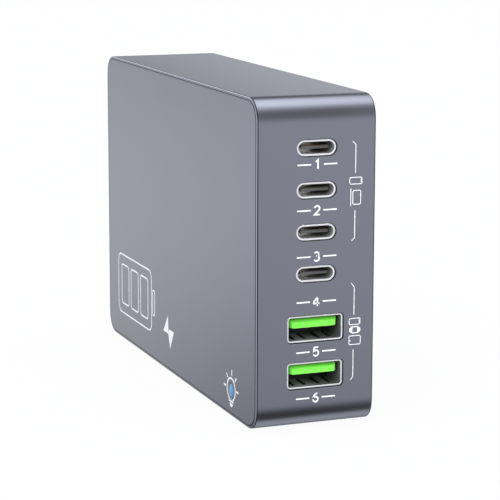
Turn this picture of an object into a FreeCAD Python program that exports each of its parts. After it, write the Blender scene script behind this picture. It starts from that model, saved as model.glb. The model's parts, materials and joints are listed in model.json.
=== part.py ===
import FreeCAD, Part
import math
import os

from FreeCAD import Vector

# Six-port desktop charger, in millimetres. The origin is the middle of the base, +Z is up,
# the sockets face -Y and the panel with the lit window faces -X.

# Housing
body_width = 28.0
body_depth = 109.0
body_height = 74.0
corner_radius = 5.0
frame_wall = 1.6
rim_lip = 0.6
rim_chamfer = 0.2
panel_thickness = 1.5
panel_gap = 0.2
panel_edge_break = 0.15
skirt_height = 0.8
skirt_thickness = 1.0
skirt_clearance = 0.1
snap_rib_height = 0.3
snap_rib_length = 14.0
snap_rib_spacing = 56.0
snap_clearance = 0.06

# Sockets on the front
oval_count = 4
wide_count = 2
oval_pitch = 9.3
wide_pitch = 10.5
group_gap = 12.3
port_group_rise = 0.55
port_recess = 0.4
port_clearance = 0.12
oval_opening_width = 8.34
oval_opening_height = 2.56
wide_opening_width = 12.5
wide_opening_height = 5.12
wide_corner_radius = 0.4
shell_wall = 0.4
connector_length = 10.5
insert_length = 3.5
insert_clearance = 0.04
shell_leg_width = 1.0
shell_leg_root = 0.4
shell_leg_proud = 0.6
spring_width = 2.2
spring_length = 5.6
spring_spacing = 6.0
spring_slot = 0.5
spring_setback = 1.6

# Tongues and contacts
oval_tongue_width = 6.69
oval_tongue_thickness = 0.7
oval_tongue_setback = 0.9
oval_tongue_break = 0.15
oval_contact_count = 12
oval_contact_pitch = 0.5
oval_contact_width = 0.25
oval_contact_thickness = 0.06
oval_contact_length = 3.4
oval_contact_setback = 0.5
wide_tongue_width = 11.1
wide_tongue_thickness = 1.84
wide_tongue_rise = 0.14
wide_tongue_setback = 0.9
wide_tongue_break = 0.55
wide_contact_count = 4
wide_contact_pitch = 2.3
wide_contact_width = 1.2
wide_contact_thickness = 0.25
wide_contact_length = 5.0
wide_contact_setback = 0.8

# Insulating tray and sheet
tray_clearance = 0.15
tray_wall = 0.8
tray_floor = 1.0
tray_port_clearance = 0.5
tray_inlet_clearance = 0.4
sheet_thickness = 0.4
sheet_hole_clearance = 0.3
stack_clearance = 0.1

# Boards, and the clips of the tray that hold them
board_thickness = 1.6
board_edge_gap = 0.4
board_lift = 1.4
clip_inset = 4.75
clip_width = 5.0
clip_thickness = 1.2
clip_clearance = 0.15
clip_gap = 0.05
clip_nose = 0.6
clip_nose_length = 1.2
rest_length = 4.0
socket_notch_clearance = 0.5
port_board_thickness = 1.2
port_board_sheet_gap = 1.2
tab_count = 3
tab_length = 8.0
tab_spacing = 22.0
tab_proud = 0.5
slot_clearance = 0.1

# Mains inlet in the back
inlet_height = 20.0
inlet_pin_spacing = 8.6
inlet_pin_radius = 1.18
inlet_pin_setback = 3.4
inlet_root_width = 2.6
inlet_root_clearance = 0.02
inlet_root_proud = 1.2
inlet_lobe_radius = 3.8
inlet_waist_width = 5.4
inlet_wall = 1.0
inlet_recess_depth = 12.5
inlet_floor = 2.5
inlet_flange_width = 1.6
inlet_flange_thickness = 0.8
inlet_pocket_clearance = 0.1
inlet_cut_clearance = 0.15
wedge_height = 0.7
wedge_length = 3.0
wedge_width = 6.0
wedge_gap = 0.05
strap_width = 2.0
strap_thickness = 0.5
strap_bend_radius = 0.4
strap_foot = 2.2
strap_zone_gap = 0.5

# Lit window
light_setback = 15.8
light_height = 5.9
light_window_radius = 1.7
light_window_recess = 0.05
light_hole_clearance = 0.08
light_flange_width = 4.8
light_flange_thickness = 0.6
light_stem_width = 2.2
light_zone_gap = 1.0
light_chip_width = 1.6
light_chip_length = 3.2
light_chip_thickness = 0.8

# Heat path
pad_depth = 50.0
pad_height = 40.0
spreader_thickness = 0.8
spreader_bend_radius = 0.4
spreader_edge_gap = 0.3
spreader_overlap = 1.0

# Wound parts, each with two core halves, a bobbin and a winding
inductor_width = 20.0
inductor_core_length = 8.5
inductor_height = 14.0
inductor_plate = 3.0
inductor_leg = 3.0
inductor_post_width = 6.4
transformer_width = 24.0
transformer_core_length = 11.0
transformer_height = 14.0
transformer_plate = 3.0
transformer_leg = 3.4
transformer_post_width = 8.0
bobbin_wall = 0.8
bobbin_post_clearance = 0.1
bobbin_leg_clearance = 0.25
bobbin_top_gap = 0.2
winding_step = 0.4
winding_corner_cut = 1.0

# Choke, a square ring core with a winding on each of two legs
choke_width = 16.0
choke_length = 14.0
choke_end = 4.0
choke_leg = 3.5
choke_thickness = 5.0
choke_winding_length = 6.5
choke_winding_thickness = 1.4
choke_winding_clearance = 0.05
choke_corner_cut = 0.8

# Other parts on the main board
component_edge_gap = 0.6
bulk_radius = 7.0
bulk_length = 20.0
bulk_lift = 0.1
fuse_width = 8.0
fuse_length = 5.0
fuse_height = 8.5
filter_width = 8.5
filter_length = 18.0
filter_height = 14.0
bridge_width = 3.6
bridge_length = 15.0
bridge_height = 11.0
bridge_corner_cut = 2.5
switch_size = 8.0
switch_height = 0.9
switch_count = 2
controller_width = 4.0
controller_length = 6.0
controller_height = 1.6
coupler_width = 6.5
coupler_length = 4.6
coupler_height = 3.5
coupler_count = 2
bridging_radius = 4.0
bridging_thickness = 3.6
bridging_lift = 0.1
rectifier_width = 6.0
rectifier_length = 5.0
rectifier_height = 1.0
rectifier_count = 2
output_radius = 5.0
output_height = 12.0
output_count = 4
port_inductor_size = 7.0
port_inductor_height = 4.5
port_inductor_corner_cut = 1.0
port_controller_size = 5.0
port_controller_height = 0.9

# Places that follow from the sizes above
half_width = body_width / 2
half_depth = body_depth / 2
mid_height = body_height / 2
panel_inner_x = half_width - panel_thickness
skirt_end_x = panel_inner_x - skirt_height
tray_back_x = skirt_end_x - stack_clearance
tray_floor_x = tray_back_x - tray_floor
sheet_outer_x = -tray_back_x
tray_rim_x = sheet_outer_x + sheet_thickness
board_back_x = tray_floor_x - board_lift
board_face_x = board_back_x - board_thickness
tray_inset = frame_wall + tray_clearance
board_inset = tray_inset + tray_wall + board_edge_gap
board_front_y = board_inset - half_depth
board_rear_y = half_depth - board_inset
board_low_z = board_inset
board_top_z = body_height - board_inset
shell_front_y = port_recess - half_depth
shell_back_y = shell_front_y + connector_length
port_board_back_y = shell_back_y + port_board_thickness
port_board_left_x = tray_rim_x + port_board_sheet_gap
light_y = light_setback - half_depth
inlet_floor_y = half_depth - inlet_recess_depth
inlet_inner_y = inlet_floor_y - inlet_floor
inlet_body_radius = inlet_lobe_radius + inlet_wall
inlet_root_y = inlet_inner_y - inlet_root_proud
strap_end_y = inlet_root_y - strap_thickness - strap_foot
spreader_x = tray_rim_x + spreader_thickness
spreader_leg_z = board_low_z + spreader_edge_gap

ACROSS = Vector(1, 0, 0)
BACK = Vector(0, 1, 0)
UP = Vector(0, 0, 1)
CLOSE = 1e-6
SIDES = (-1, 1)


# Shape helpers
def rounded_wire(centre, across, up, width, height, radius):
    """Closed outline of a rounded rectangle around a centre, in the plane of two directions."""
    arcs = []
    for index, (sign_a, sign_u) in enumerate(((1, 1), (-1, 1), (-1, -1), (1, -1))):
        side_step = across * (sign_a * (width / 2 - radius))
        middle = centre + side_step + up * (sign_u * (height / 2 - radius))
        points = []
        for step in (0, 1, 2):
            angle = math.radians(90 * index + 45 * step)
            points.append(middle + across * (radius * math.cos(angle)) + up * (radius * math.sin(angle)))
        arcs.append(points)
    edges = []
    for points, following in zip(arcs, arcs[1:] + arcs[:1]):
        edges.append(Part.Arc(*points).toShape())
        if points[2].distanceToPoint(following[0]) > CLOSE:
            edges.append(Part.LineSegment(points[2], following[0]).toShape())
    return Part.Wire(edges)


def inset_slab(inset, x_from, x_to):
    """Slab with the body's side outline, drawn in by an inset, between two X planes."""
    wire = rounded_wire(
        Vector(x_from, 0, mid_height),
        BACK,
        UP,
        body_depth - 2 * inset,
        body_height - 2 * inset,
        corner_radius - inset,
    )
    return Part.Face(wire).extrude(ACROSS * (x_to - x_from))


def wall_slab(height_at, width, height, radius, y_from, y_to):
    """Slab with a rounded outline that faces along Y, centred across the body at a height."""
    wire = rounded_wire(Vector(0, y_from, height_at), ACROSS, UP, width, height, radius)
    return Part.Face(wire).extrude(BACK * (y_to - y_from))


def block(x_span, y_span, z_span):
    """Box between two values on each axis, given in either order."""
    low = Vector(min(x_span), min(y_span), min(z_span))
    high = Vector(max(x_span), max(y_span), max(z_span))
    size = high - low
    return Part.makeBox(size.x, size.y, size.z, low)


def span(centre, size):
    """Low and high end of a size set evenly about a centre."""
    return (centre - size / 2, centre + size / 2)


def rod(start, end, radius):
    """Cylinder of a radius between two points."""
    line = end - start
    return Part.makeCylinder(radius, line.Length, start, line)


def edges_at(shape, axis, value):
    """Edges of a shape that lie whole in the plane where one axis has a value."""
    found = []
    for edge in shape.Edges:
        places = [getattr(vertex.Point, axis) for vertex in edge.Vertexes]
        if all(abs(place - value) < CLOSE for place in places):
            found.append(edge)
    return found


def edges_through(shape, point):
    """Edges of a shape whose middle is at a point."""
    return [edge for edge in shape.Edges if edge.CenterOfMass.distanceToPoint(point) < CLOSE]


def joined(first, *others):
    """One solid made of pieces that touch or overlap."""
    return first.fuse(list(others)).removeSplitter()


def folded(first, second, outer_point, inner_point, thickness, bend_radius):
    """Two plates joined at a right angle, with the fold rounded outside and inside."""
    sheet = joined(first, second)
    sheet = sheet.makeFillet(bend_radius + thickness, edges_through(sheet, outer_point))
    return sheet.makeFillet(bend_radius, edges_through(sheet, inner_point))


def cut_prism(height_at, width, height, cut, y_from, y_to):
    """Prism along Y with a rectangular section whose four corners are cut off."""
    points = []
    for sign_x, sign_z, order in ((1, 1, 1), (-1, 1, -1), (-1, -1, 1), (1, -1, -1)):
        side = Vector(sign_x * width / 2, y_from, height_at + sign_z * (height / 2 - cut))
        level = Vector(sign_x * (width / 2 - cut), y_from, height_at + sign_z * height / 2)
        for point in (side, level)[::order]:
            if not points or point.distanceToPoint(points[-1]) > CLOSE:
                points.append(point)
    if points[0].distanceToPoint(points[-1]) < CLOSE:
        points.pop()
    return Part.Face(Part.makePolygon(points + points[:1])).extrude(BACK * (y_to - y_from))


def spread(low, high, sizes):
    """Centres of items set in a row with even gaps between a low and a high end."""
    gap = (high - low - sum(sizes)) / (len(sizes) + 1)
    centres = []
    edge = low
    for size in sizes:
        centres.append(edge + gap + size / 2)
        edge += gap + size
    return centres


# Layout of the sockets and of the main board
def port_heights():
    """Heights of the oval and of the wide socket centres, from the top down."""
    chain = (oval_count - 1) * oval_pitch + group_gap + (wide_count - 1) * wide_pitch
    top = mid_height + port_group_rise + chain / 2
    ovals = [top - oval_pitch * index for index in range(oval_count)]
    wides = [ovals[-1] - group_gap - wide_pitch * index for index in range(wide_count)]
    return ovals, wides


oval_heights, wide_heights = port_heights()
port_total = oval_count + wide_count

bulk_z = board_top_z - component_edge_gap - bulk_radius
column_low_z = spreader_leg_z + spreader_thickness + component_edge_gap
column_top_z = board_top_z - component_edge_gap
rear_column_top_z = bulk_z - bulk_radius
light_zone_top_z = light_height + light_flange_width / 2 + light_zone_gap

column_sizes = (
    port_controller_size,
    port_inductor_size,
    2 * output_radius,
    switch_size,
    transformer_width,
    filter_width,
)
column_rear_y = strap_end_y - strap_zone_gap
columns = spread(port_board_back_y, column_rear_y, column_sizes)
chip_y, coil_y, output_y, switch_y, wound_y, filter_y = columns

inlet_top_z = inlet_height + inlet_pin_spacing / 2 + inlet_body_radius
choke_y = (column_rear_y + board_rear_y) / 2
choke_z = (inlet_top_z + rear_column_top_z) / 2


def winding_bulk(width, leg, post_width):
    """Thickness of a winding that fills the window between a core's post and its legs."""
    flange_half = width / 2 - leg - bobbin_leg_clearance
    tube_half = post_width / 2 + bobbin_post_clearance + bobbin_wall
    return flange_half - winding_step - tube_half


def wound_length(width, leg, post_width, core_length):
    """Length along Z of a wound part, flange to flange."""
    tube_length = core_length + 2 * (bobbin_post_clearance + bobbin_wall)
    return tube_length + 2 * (winding_bulk(width, leg, post_width) + winding_step)


transformer_length = wound_length(
    transformer_width,
    transformer_leg,
    transformer_post_width,
    transformer_core_length,
)
inductor_length = wound_length(inductor_width, inductor_leg, inductor_post_width, inductor_core_length)
wound_column = spread(column_low_z, rear_column_top_z, (transformer_length, inductor_length))
transformer_z, inductor_z = wound_column


def clip_places():
    """Y of each clip, the Z of the board edge that it holds, and the way that edge faces."""
    places = []
    for y in (board_front_y + clip_inset, board_rear_y - clip_inset):
        places.append((y, board_low_z, -1))
        places.append((y, board_top_z, 1))
    return places


def tab_heights():
    """Heights of the port board's tabs, evenly about the middle."""
    first = mid_height - tab_spacing * (tab_count - 1) / 2
    return [first + tab_spacing * index for index in range(tab_count)]


def pin_heights():
    """Heights of the two inlet pins."""
    return [inlet_height + side * inlet_pin_spacing / 2 for side in SIDES]


# Housing
def snap_bars(side, extra):
    """Bars of diamond section, half buried in one panel's skirt, larger by an extra for their grooves."""
    bars = []
    x = side * (panel_inner_x - skirt_height / 2)
    skirt_inset = frame_wall + skirt_clearance
    reach = snap_rib_height + extra
    length = snap_rib_length + 2 * extra
    for y in (-snap_rib_spacing / 2, snap_rib_spacing / 2):
        start_y = y - length / 2
        for z in (skirt_inset, body_height - skirt_inset):
            corners = [
                Vector(x - reach, start_y, z),
                Vector(x, start_y, z - reach),
                Vector(x + reach, start_y, z),
                Vector(x, start_y, z + reach),
            ]
            bars.append(Part.Face(Part.makePolygon(corners + corners[:1])).extrude(BACK * length))
    return bars


def port_cut(height_at, width, height, radius):
    """Cut-out in the front wall for one socket."""
    return wall_slab(height_at, width, height, radius, -half_depth, frame_wall - half_depth)


def wrap_frame():
    """Band that makes the front, top, back and bottom, with a rebate at each end for a panel."""
    body = inset_slab(0, -half_width, half_width)
    rims = edges_at(body, "x", half_width) + edges_at(body, "x", -half_width)
    body = body.makeChamfer(rim_chamfer, rims)
    cuts = [inset_slab(frame_wall, -half_width, half_width)]
    for side in SIDES:
        cuts.append(inset_slab(rim_lip, side * panel_inner_x, side * half_width))
        cuts.extend(snap_bars(side, snap_clearance))
    for z in oval_heights:
        width, height = oval_outside()
        grown = height + 2 * port_clearance
        cuts.append(port_cut(z, width + 2 * port_clearance, grown, grown / 2))
    for z in wide_heights:
        width, height, radius = wide_outside()
        cuts.append(
            port_cut(z, width + 2 * port_clearance, height + 2 * port_clearance, radius + port_clearance)
        )
    pocket_radius = inlet_body_radius + inlet_flange_width + inlet_pocket_clearance
    cuts.append(inlet_slab(pocket_radius, half_depth - inlet_flange_thickness, half_depth))
    cuts.append(inlet_slab(inlet_body_radius + inlet_cut_clearance, half_depth - frame_wall, half_depth))
    return body.cut(cuts)


def side_panel(side):
    """Flat panel that fills one end of the frame, with a skirt that locates it inside."""
    face_x = side * half_width
    inner_x = side * panel_inner_x
    end_x = side * skirt_end_x
    plate = inset_slab(rim_lip + panel_gap, inner_x, face_x)
    plate = plate.makeChamfer(panel_edge_break, edges_at(plate, "x", face_x))
    skirt_inset = frame_wall + skirt_clearance
    skirt = inset_slab(skirt_inset, end_x, inner_x).cut(
        inset_slab(skirt_inset + skirt_thickness, end_x, inner_x)
    )
    return joined(plate, skirt, *snap_bars(side, 0))


def left_side_panel():
    """Panel on -X, with the hole for the lit window."""
    hole = rod(
        Vector(-half_width, light_y, light_height),
        Vector(-panel_inner_x, light_y, light_height),
        light_window_radius + light_hole_clearance,
    )
    return side_panel(-1).cut(hole)


# Sockets
def oval_outside():
    """Outer width and height of an oval shell."""
    return oval_opening_width + 2 * shell_wall, oval_opening_height + 2 * shell_wall


def wide_outside():
    """Outer width, height and corner radius of a wide shell."""
    return (
        wide_opening_width + 2 * shell_wall,
        wide_opening_height + 2 * shell_wall,
        wide_corner_radius + shell_wall,
    )


def shell_legs(height_at, width, extra):
    """Legs of one shell that pass through the port board, larger by an extra for their slots."""
    legs = []
    for side in SIDES:
        outer = side * width / 2
        legs.append(
            block(
                (outer - side * (shell_wall + extra), outer + side * extra),
                (shell_back_y - shell_leg_root, port_board_back_y + shell_leg_proud),
                span(height_at, shell_leg_width + 2 * extra),
            )
        )
    return legs


def oval_shell(height_at):
    """Drawn metal shell of one oval socket."""
    width, height = oval_outside()
    outer = wall_slab(height_at, width, height, height / 2, shell_front_y, shell_back_y)
    inner = wall_slab(
        height_at,
        oval_opening_width,
        oval_opening_height,
        oval_opening_height / 2,
        shell_front_y,
        shell_back_y,
    )
    return joined(outer.cut(inner), *shell_legs(height_at, width, 0))


def oval_tongue(height_at):
    """Plastic insert of one oval socket, with the thin tongue that stands in the opening."""
    height = oval_opening_height - 2 * insert_clearance
    insert_front_y = shell_back_y - insert_length
    tongue_front_y = shell_front_y + oval_tongue_setback
    width = oval_opening_width - 2 * insert_clearance
    insert = cut_prism(height_at, width, height, height / 2, insert_front_y, shell_back_y)
    tongue = block(
        span(0, oval_tongue_width),
        (tongue_front_y, insert_front_y),
        span(height_at, oval_tongue_thickness),
    )
    tongue = tongue.makeChamfer(oval_tongue_break, edges_at(tongue, "y", tongue_front_y))
    return joined(insert, tongue)


def oval_contacts(height_at):
    """Two rows of flat contacts on the faces of an oval socket's tongue."""
    front_y = shell_front_y + oval_tongue_setback + oval_contact_setback
    first_x = -oval_contact_pitch * (oval_contact_count - 1) / 2
    strips = []
    for side in SIDES:
        face_z = height_at + side * oval_tongue_thickness / 2
        for index in range(oval_contact_count):
            strips.append(
                block(
                    span(first_x + oval_contact_pitch * index, oval_contact_width),
                    (front_y, front_y + oval_contact_length),
                    (face_z, face_z + side * oval_contact_thickness),
                )
            )
    return Part.makeCompound(strips)


def spring_slots(height_at):
    """Slots that free the spring fingers in the floor and roof of a wide shell."""
    cuts = []
    front_y = shell_front_y + spring_setback
    back_y = front_y + spring_length
    reach = spring_width / 2 + spring_slot
    for side in SIDES:
        wall_z = height_at + side * wide_opening_height / 2
        wall_span = (wall_z, wall_z + side * shell_wall)
        for finger in SIDES:
            middle = finger * spring_spacing / 2
            for edge in SIDES:
                cuts.append(
                    block(
                        (middle + edge * spring_width / 2, middle + edge * reach),
                        (front_y, back_y),
                        wall_span,
                    )
                )
            cuts.append(block(span(middle, 2 * reach), (back_y - spring_slot, back_y), wall_span))
    return cuts


def wide_shell(height_at):
    """Folded metal shell of one wide socket."""
    width, height, radius = wide_outside()
    outer = wall_slab(height_at, width, height, radius, shell_front_y, shell_back_y)
    inner = wall_slab(
        height_at,
        wide_opening_width,
        wide_opening_height,
        wide_corner_radius,
        shell_front_y,
        shell_back_y,
    )
    tube = outer.cut([inner] + spring_slots(height_at))
    return joined(tube, *shell_legs(height_at, width, 0))


def wide_tongue(height_at):
    """Plastic insert of one wide socket, with the thick tongue in the upper half of the opening."""
    insert_front_y = shell_back_y - insert_length
    tongue_front_y = shell_front_y + wide_tongue_setback
    low_z = height_at + wide_tongue_rise
    top_z = low_z + wide_tongue_thickness
    width = wide_opening_width - 2 * insert_clearance
    height = wide_opening_height - 2 * insert_clearance
    insert = cut_prism(height_at, width, height, wide_corner_radius, insert_front_y, shell_back_y)
    tongue = block(span(0, wide_tongue_width), (tongue_front_y, insert_front_y), (low_z, top_z))
    broken = []
    for edge in edges_at(tongue, "y", tongue_front_y):
        if edge.CenterOfMass.z > low_z + CLOSE:
            broken.append(edge)
    tongue = tongue.makeChamfer(wide_tongue_break, broken)
    return joined(insert, tongue)


def wide_contacts(height_at):
    """Spring contacts under the tongue of a wide socket."""
    front_y = shell_front_y + wide_tongue_setback + wide_contact_setback
    first_x = -wide_contact_pitch * (wide_contact_count - 1) / 2
    face_z = height_at + wide_tongue_rise
    strips = []
    for index in range(wide_contact_count):
        strips.append(
            block(
                span(first_x + wide_contact_pitch * index, wide_contact_width),
                (front_y, front_y + wide_contact_length),
                (face_z - wide_contact_thickness, face_z),
            )
        )
    return Part.makeCompound(strips)


# Mains inlet
def inlet_slab(radius, y_from, y_to):
    """Long upright slab with round ends about the two inlet pins."""
    return wall_slab(inlet_height, 2 * radius, inlet_pin_spacing + 2 * radius, radius, y_from, y_to)


def figure_eight(y_from, y_to):
    """Two round lobes joined by a waist, the shape that the mains plug has."""
    lobes = [rod(Vector(0, y_from, z), Vector(0, y_to, z), inlet_lobe_radius) for z in pin_heights()]
    waist = block(span(0, inlet_waist_width), (y_from, y_to), span(inlet_height, inlet_pin_spacing))
    return joined(waist, *lobes)


def snap_wedge(side):
    """Ramp on one flat side of the inlet body that catches behind the frame's back wall."""
    root_x = side * inlet_body_radius
    catch_y = half_depth - frame_wall - wedge_gap
    low_z, top_z = span(inlet_height, wedge_width)
    corners = [
        Vector(root_x, catch_y, low_z),
        Vector(root_x + side * wedge_height, catch_y, low_z),
        Vector(root_x, catch_y - wedge_length, low_z),
    ]
    return Part.Face(Part.makePolygon(corners + corners[:1])).extrude(UP * (top_z - low_z))


def inlet_body():
    """Moulded inlet set into the back from outside, its flange flush in a pocket."""
    body = inlet_slab(inlet_body_radius, inlet_inner_y, half_depth)
    flange_radius = inlet_body_radius + inlet_flange_width
    flange = inlet_slab(flange_radius, half_depth - inlet_flange_thickness, half_depth)
    body = joined(body, flange, *[snap_wedge(side) for side in SIDES])
    hole_width = inlet_root_width + 2 * inlet_root_clearance
    holes = []
    for z in pin_heights():
        holes.append(block(span(0, hole_width), (inlet_inner_y, inlet_floor_y), span(z, hole_width)))
    return body.cut([figure_eight(inlet_floor_y, half_depth)] + holes)


def inlet_pin(height_at):
    """Contact pin with a round free end and a square root moulded into the inlet floor."""
    tip_y = half_depth - inlet_pin_setback
    end = rod(Vector(0, inlet_floor_y, height_at), Vector(0, tip_y, height_at), inlet_pin_radius)
    root = block(span(0, inlet_root_width), (inlet_root_y, inlet_floor_y), span(height_at, inlet_root_width))
    return joined(end, root)


def inlet_strap(height_at):
    """Flat strap from the back of one pin to the main board, folded into a solder foot."""
    z_span = span(height_at, strap_width)
    back_y = inlet_root_y - strap_thickness
    low_x = -inlet_root_width / 2
    foot_x = board_face_x - strap_thickness
    strip = block((low_x, board_face_x), (back_y, inlet_root_y), z_span)
    foot = block((foot_x, board_face_x), (strap_end_y, inlet_root_y), z_span)
    outer_fold = Vector(board_face_x, inlet_root_y, height_at)
    inner_fold = Vector(foot_x, back_y, height_at)
    return folded(strip, foot, outer_fold, inner_fold, strap_thickness, strap_bend_radius)


# Insulation and boards
def board_clip(y, edge_z, facing):
    """Post that rises through a notch in the main board's edge, with a nose over the board."""
    inner_z = edge_z - facing * clip_thickness
    catch_x = board_face_x - clip_gap
    tip_x = catch_x - clip_nose_length
    start_y = y - clip_width / 2
    corners = [
        Vector(tray_floor_x, start_y, edge_z),
        Vector(tray_floor_x, start_y, inner_z),
        Vector(catch_x, start_y, inner_z),
        Vector(catch_x, start_y, inner_z - facing * clip_nose),
        Vector(tip_x, start_y, inner_z),
        Vector(tip_x, start_y, edge_z),
    ]
    return Part.Face(Part.makePolygon(corners + corners[:1])).extrude(BACK * clip_width)


def board_rest(y, edge_z, facing):
    """Block on the tray floor that the main board lies on, beside one clip."""
    start_z = edge_z - facing * (clip_thickness + clip_clearance + clip_nose)
    end_z = start_z - facing * rest_length
    return block((board_back_x, tray_floor_x), span(y, clip_width), (start_z, end_z))


def insulating_tray():
    """Moulded tray that lines the frame, open towards the lit panel, with clips for the board."""
    wall_inset = tray_inset + tray_wall
    tray = inset_slab(tray_inset, tray_rim_x, tray_back_x)
    tray = tray.cut(inset_slab(wall_inset, tray_rim_x, tray_floor_x))
    holders = []
    for place in clip_places():
        holders.append(board_clip(*place))
        holders.append(board_rest(*place))
    front_y = tray_inset - half_depth
    front_wall = (front_y, front_y + tray_wall)
    windows = []
    for heights, size in ((oval_heights, oval_outside()), (wide_heights, wide_outside())):
        width_span = span(0, size[0] + 2 * tray_port_clearance)
        for z in heights:
            windows.append(block(width_span, front_wall, span(z, size[1] + 2 * tray_port_clearance)))
    rear_y = half_depth - tray_inset
    reach = inlet_body_radius + wedge_height + tray_inlet_clearance
    inlet_span = span(inlet_height, inlet_pin_spacing + 2 * reach)
    windows.append(block(span(0, 2 * reach), (rear_y - tray_wall, rear_y), inlet_span))
    return joined(tray, *holders).cut(windows)


def insulating_sheet():
    """Thin sheet that closes the tray, with a hole for the light pipe."""
    sheet = inset_slab(tray_inset, sheet_outer_x, tray_rim_x)
    hole_width = light_stem_width + 2 * sheet_hole_clearance
    hole = block((sheet_outer_x, tray_rim_x), span(light_y, hole_width), span(light_height, hole_width))
    return sheet.cut(hole)


def main_board():
    """Board that lies in the tray, notched for the clips and the wide sockets, slotted for the tabs."""
    board = inset_slab(board_inset, board_face_x, board_back_x)
    through = (board_face_x, board_back_x)
    cuts = []
    for y, edge_z, facing in clip_places():
        depth = clip_thickness + clip_clearance
        cuts.append(
            block(through, span(y, clip_width + 2 * clip_clearance), (edge_z, edge_z - facing * depth))
        )
    notch_height = wide_outside()[1] + 2 * socket_notch_clearance
    for z in wide_heights:
        cuts.append(block(through, (board_front_y, shell_back_y), span(z, notch_height)))
    for z in tab_heights():
        cuts.append(
            block(
                through,
                (shell_back_y - slot_clearance, port_board_back_y + slot_clearance),
                span(z, tab_length + 2 * slot_clearance),
            )
        )
    return board.cut(cuts)


def port_board():
    """Upright board behind the front that carries the six sockets."""
    thickness = (shell_back_y, port_board_back_y)
    board = block((port_board_left_x, board_face_x), thickness, (board_low_z, board_top_z))
    tabs = []
    for z in tab_heights():
        tabs.append(block((board_face_x, board_back_x + tab_proud), thickness, span(z, tab_length)))
    board = joined(board, *tabs)
    slots = []
    for z in oval_heights:
        slots.extend(shell_legs(z, oval_outside()[0], slot_clearance))
    for z in wide_heights:
        slots.extend(shell_legs(z, wide_outside()[0], slot_clearance))
    return board.cut(slots)


# Lit window
def light_pipe():
    """Clear stem from the status light to a round window in the left panel, with a square flange."""
    flange_end_x = light_flange_thickness - panel_inner_x
    window = rod(
        Vector(light_window_recess - half_width, light_y, light_height),
        Vector(-panel_inner_x, light_y, light_height),
        light_window_radius,
    )
    flange = block(
        (-panel_inner_x, flange_end_x),
        span(light_y, light_flange_width),
        span(light_height, light_flange_width),
    )
    stem = block(
        (flange_end_x, board_face_x - light_chip_thickness),
        span(light_y, light_stem_width),
        span(light_height, light_stem_width),
    )
    return joined(window, flange, stem)


def on_board(y, z, width, length, height):
    """Block that stands on the main board: width along Y, length along Z."""
    return block((board_face_x, board_face_x - height), span(y, width), span(z, length))


def status_light():
    """Light chip under the light pipe."""
    return on_board(light_y, light_height, light_chip_width, light_chip_length, light_chip_thickness)


# Wound parts
def cut_corners(shape, size):
    """The same shape with its outer upright edges, those along X, cut by a size."""
    bounds = shape.BoundBox
    uprights = []
    for edge in shape.Edges:
        middle = edge.CenterOfMass
        level = abs(middle.y - bounds.YMin) < CLOSE or abs(middle.y - bounds.YMax) < CLOSE
        end = abs(middle.z - bounds.ZMin) < CLOSE or abs(middle.z - bounds.ZMax) < CLOSE
        if level and end:
            uprights.append(edge)
    return shape.makeChamfer(size, uprights)


def wound_part(y, z, width, core_length, height, plate, leg, post_width):
    """Two core halves, a bobbin and a winding, standing on the main board.

    The halves meet at mid height. The bobbin slides over the middle post, and the winding fills
    the bobbin between its flanges.
    """
    middle_x = board_face_x - height / 2
    top_x = board_face_x - height
    core_span = span(z, core_length)
    halves = []
    for outer_x, side in ((board_face_x, -1), (top_x, 1)):
        inner_x = outer_x + side * plate
        pieces = [block((inner_x, middle_x), span(y, post_width), core_span)]
        for edge in SIDES:
            outer_y = y + edge * width / 2
            pieces.append(block((inner_x, middle_x), (outer_y, outer_y - edge * leg), core_span))
        halves.append(joined(block((outer_x, inner_x), span(y, width), core_span), *pieces))
    low_x = board_face_x - plate
    high_x = top_x + plate + bobbin_top_gap
    bore_width = post_width + 2 * bobbin_post_clearance
    bore_length = core_length + 2 * bobbin_post_clearance
    bulk = winding_bulk(width, leg, post_width)

    def spool(x_from, x_to, growth):
        """Block around the post, wider than the bobbin's bore by a growth on each side."""
        return block((x_from, x_to), span(y, bore_width + 2 * growth), span(z, bore_length + 2 * growth))

    flange_growth = bobbin_wall + bulk + winding_step
    low_flange_x = low_x - bobbin_wall
    high_flange_x = high_x + bobbin_wall
    bobbin = joined(
        spool(low_x, high_x, bobbin_wall),
        spool(low_x, low_flange_x, flange_growth),
        spool(high_x, high_flange_x, flange_growth),
    ).cut(spool(low_x, high_x, 0))
    coil = cut_corners(spool(low_flange_x, high_flange_x, bobbin_wall + bulk), winding_corner_cut)
    winding = coil.cut(spool(low_flange_x, high_flange_x, bobbin_wall))
    return halves[0], halves[1], bobbin, winding


def choke_core_span():
    """X planes of the choke core, raised off the board by its windings."""
    low_x = board_face_x - choke_winding_thickness - choke_winding_clearance
    return (low_x, low_x - choke_thickness)


def choke_core():
    """Square ring core of the input choke."""
    window_width = choke_width - 2 * choke_end
    window_length = choke_length - 2 * choke_leg
    core = block(choke_core_span(), span(choke_y, choke_width), span(choke_z, choke_length))
    core = cut_corners(core, choke_corner_cut)
    return core.cut(block(choke_core_span(), span(choke_y, window_width), span(choke_z, window_length)))


def choke_windings():
    """A winding around each of the two legs of the choke core."""
    low_x, high_x = choke_core_span()
    windings = []
    for side in SIDES:
        leg_z = choke_z + side * (choke_length - choke_leg) / 2
        layers = []
        for growth in (choke_winding_thickness + choke_winding_clearance, choke_winding_clearance):
            layers.append(
                block(
                    (low_x + growth, high_x - growth),
                    span(choke_y, choke_winding_length),
                    span(leg_z, choke_leg + 2 * growth),
                )
            )
        windings.append(layers[0].cut(layers[1]))
    return Part.makeCompound(windings)


# Other parts on the main board
def bulk_capacitor(y):
    """Can that lies along the top of the main board."""
    x = board_face_x - bulk_lift - bulk_radius
    front = Vector(x, y - bulk_length / 2, bulk_z)
    rear = Vector(x, y + bulk_length / 2, bulk_z)
    return rod(front, rear, bulk_radius)


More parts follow.
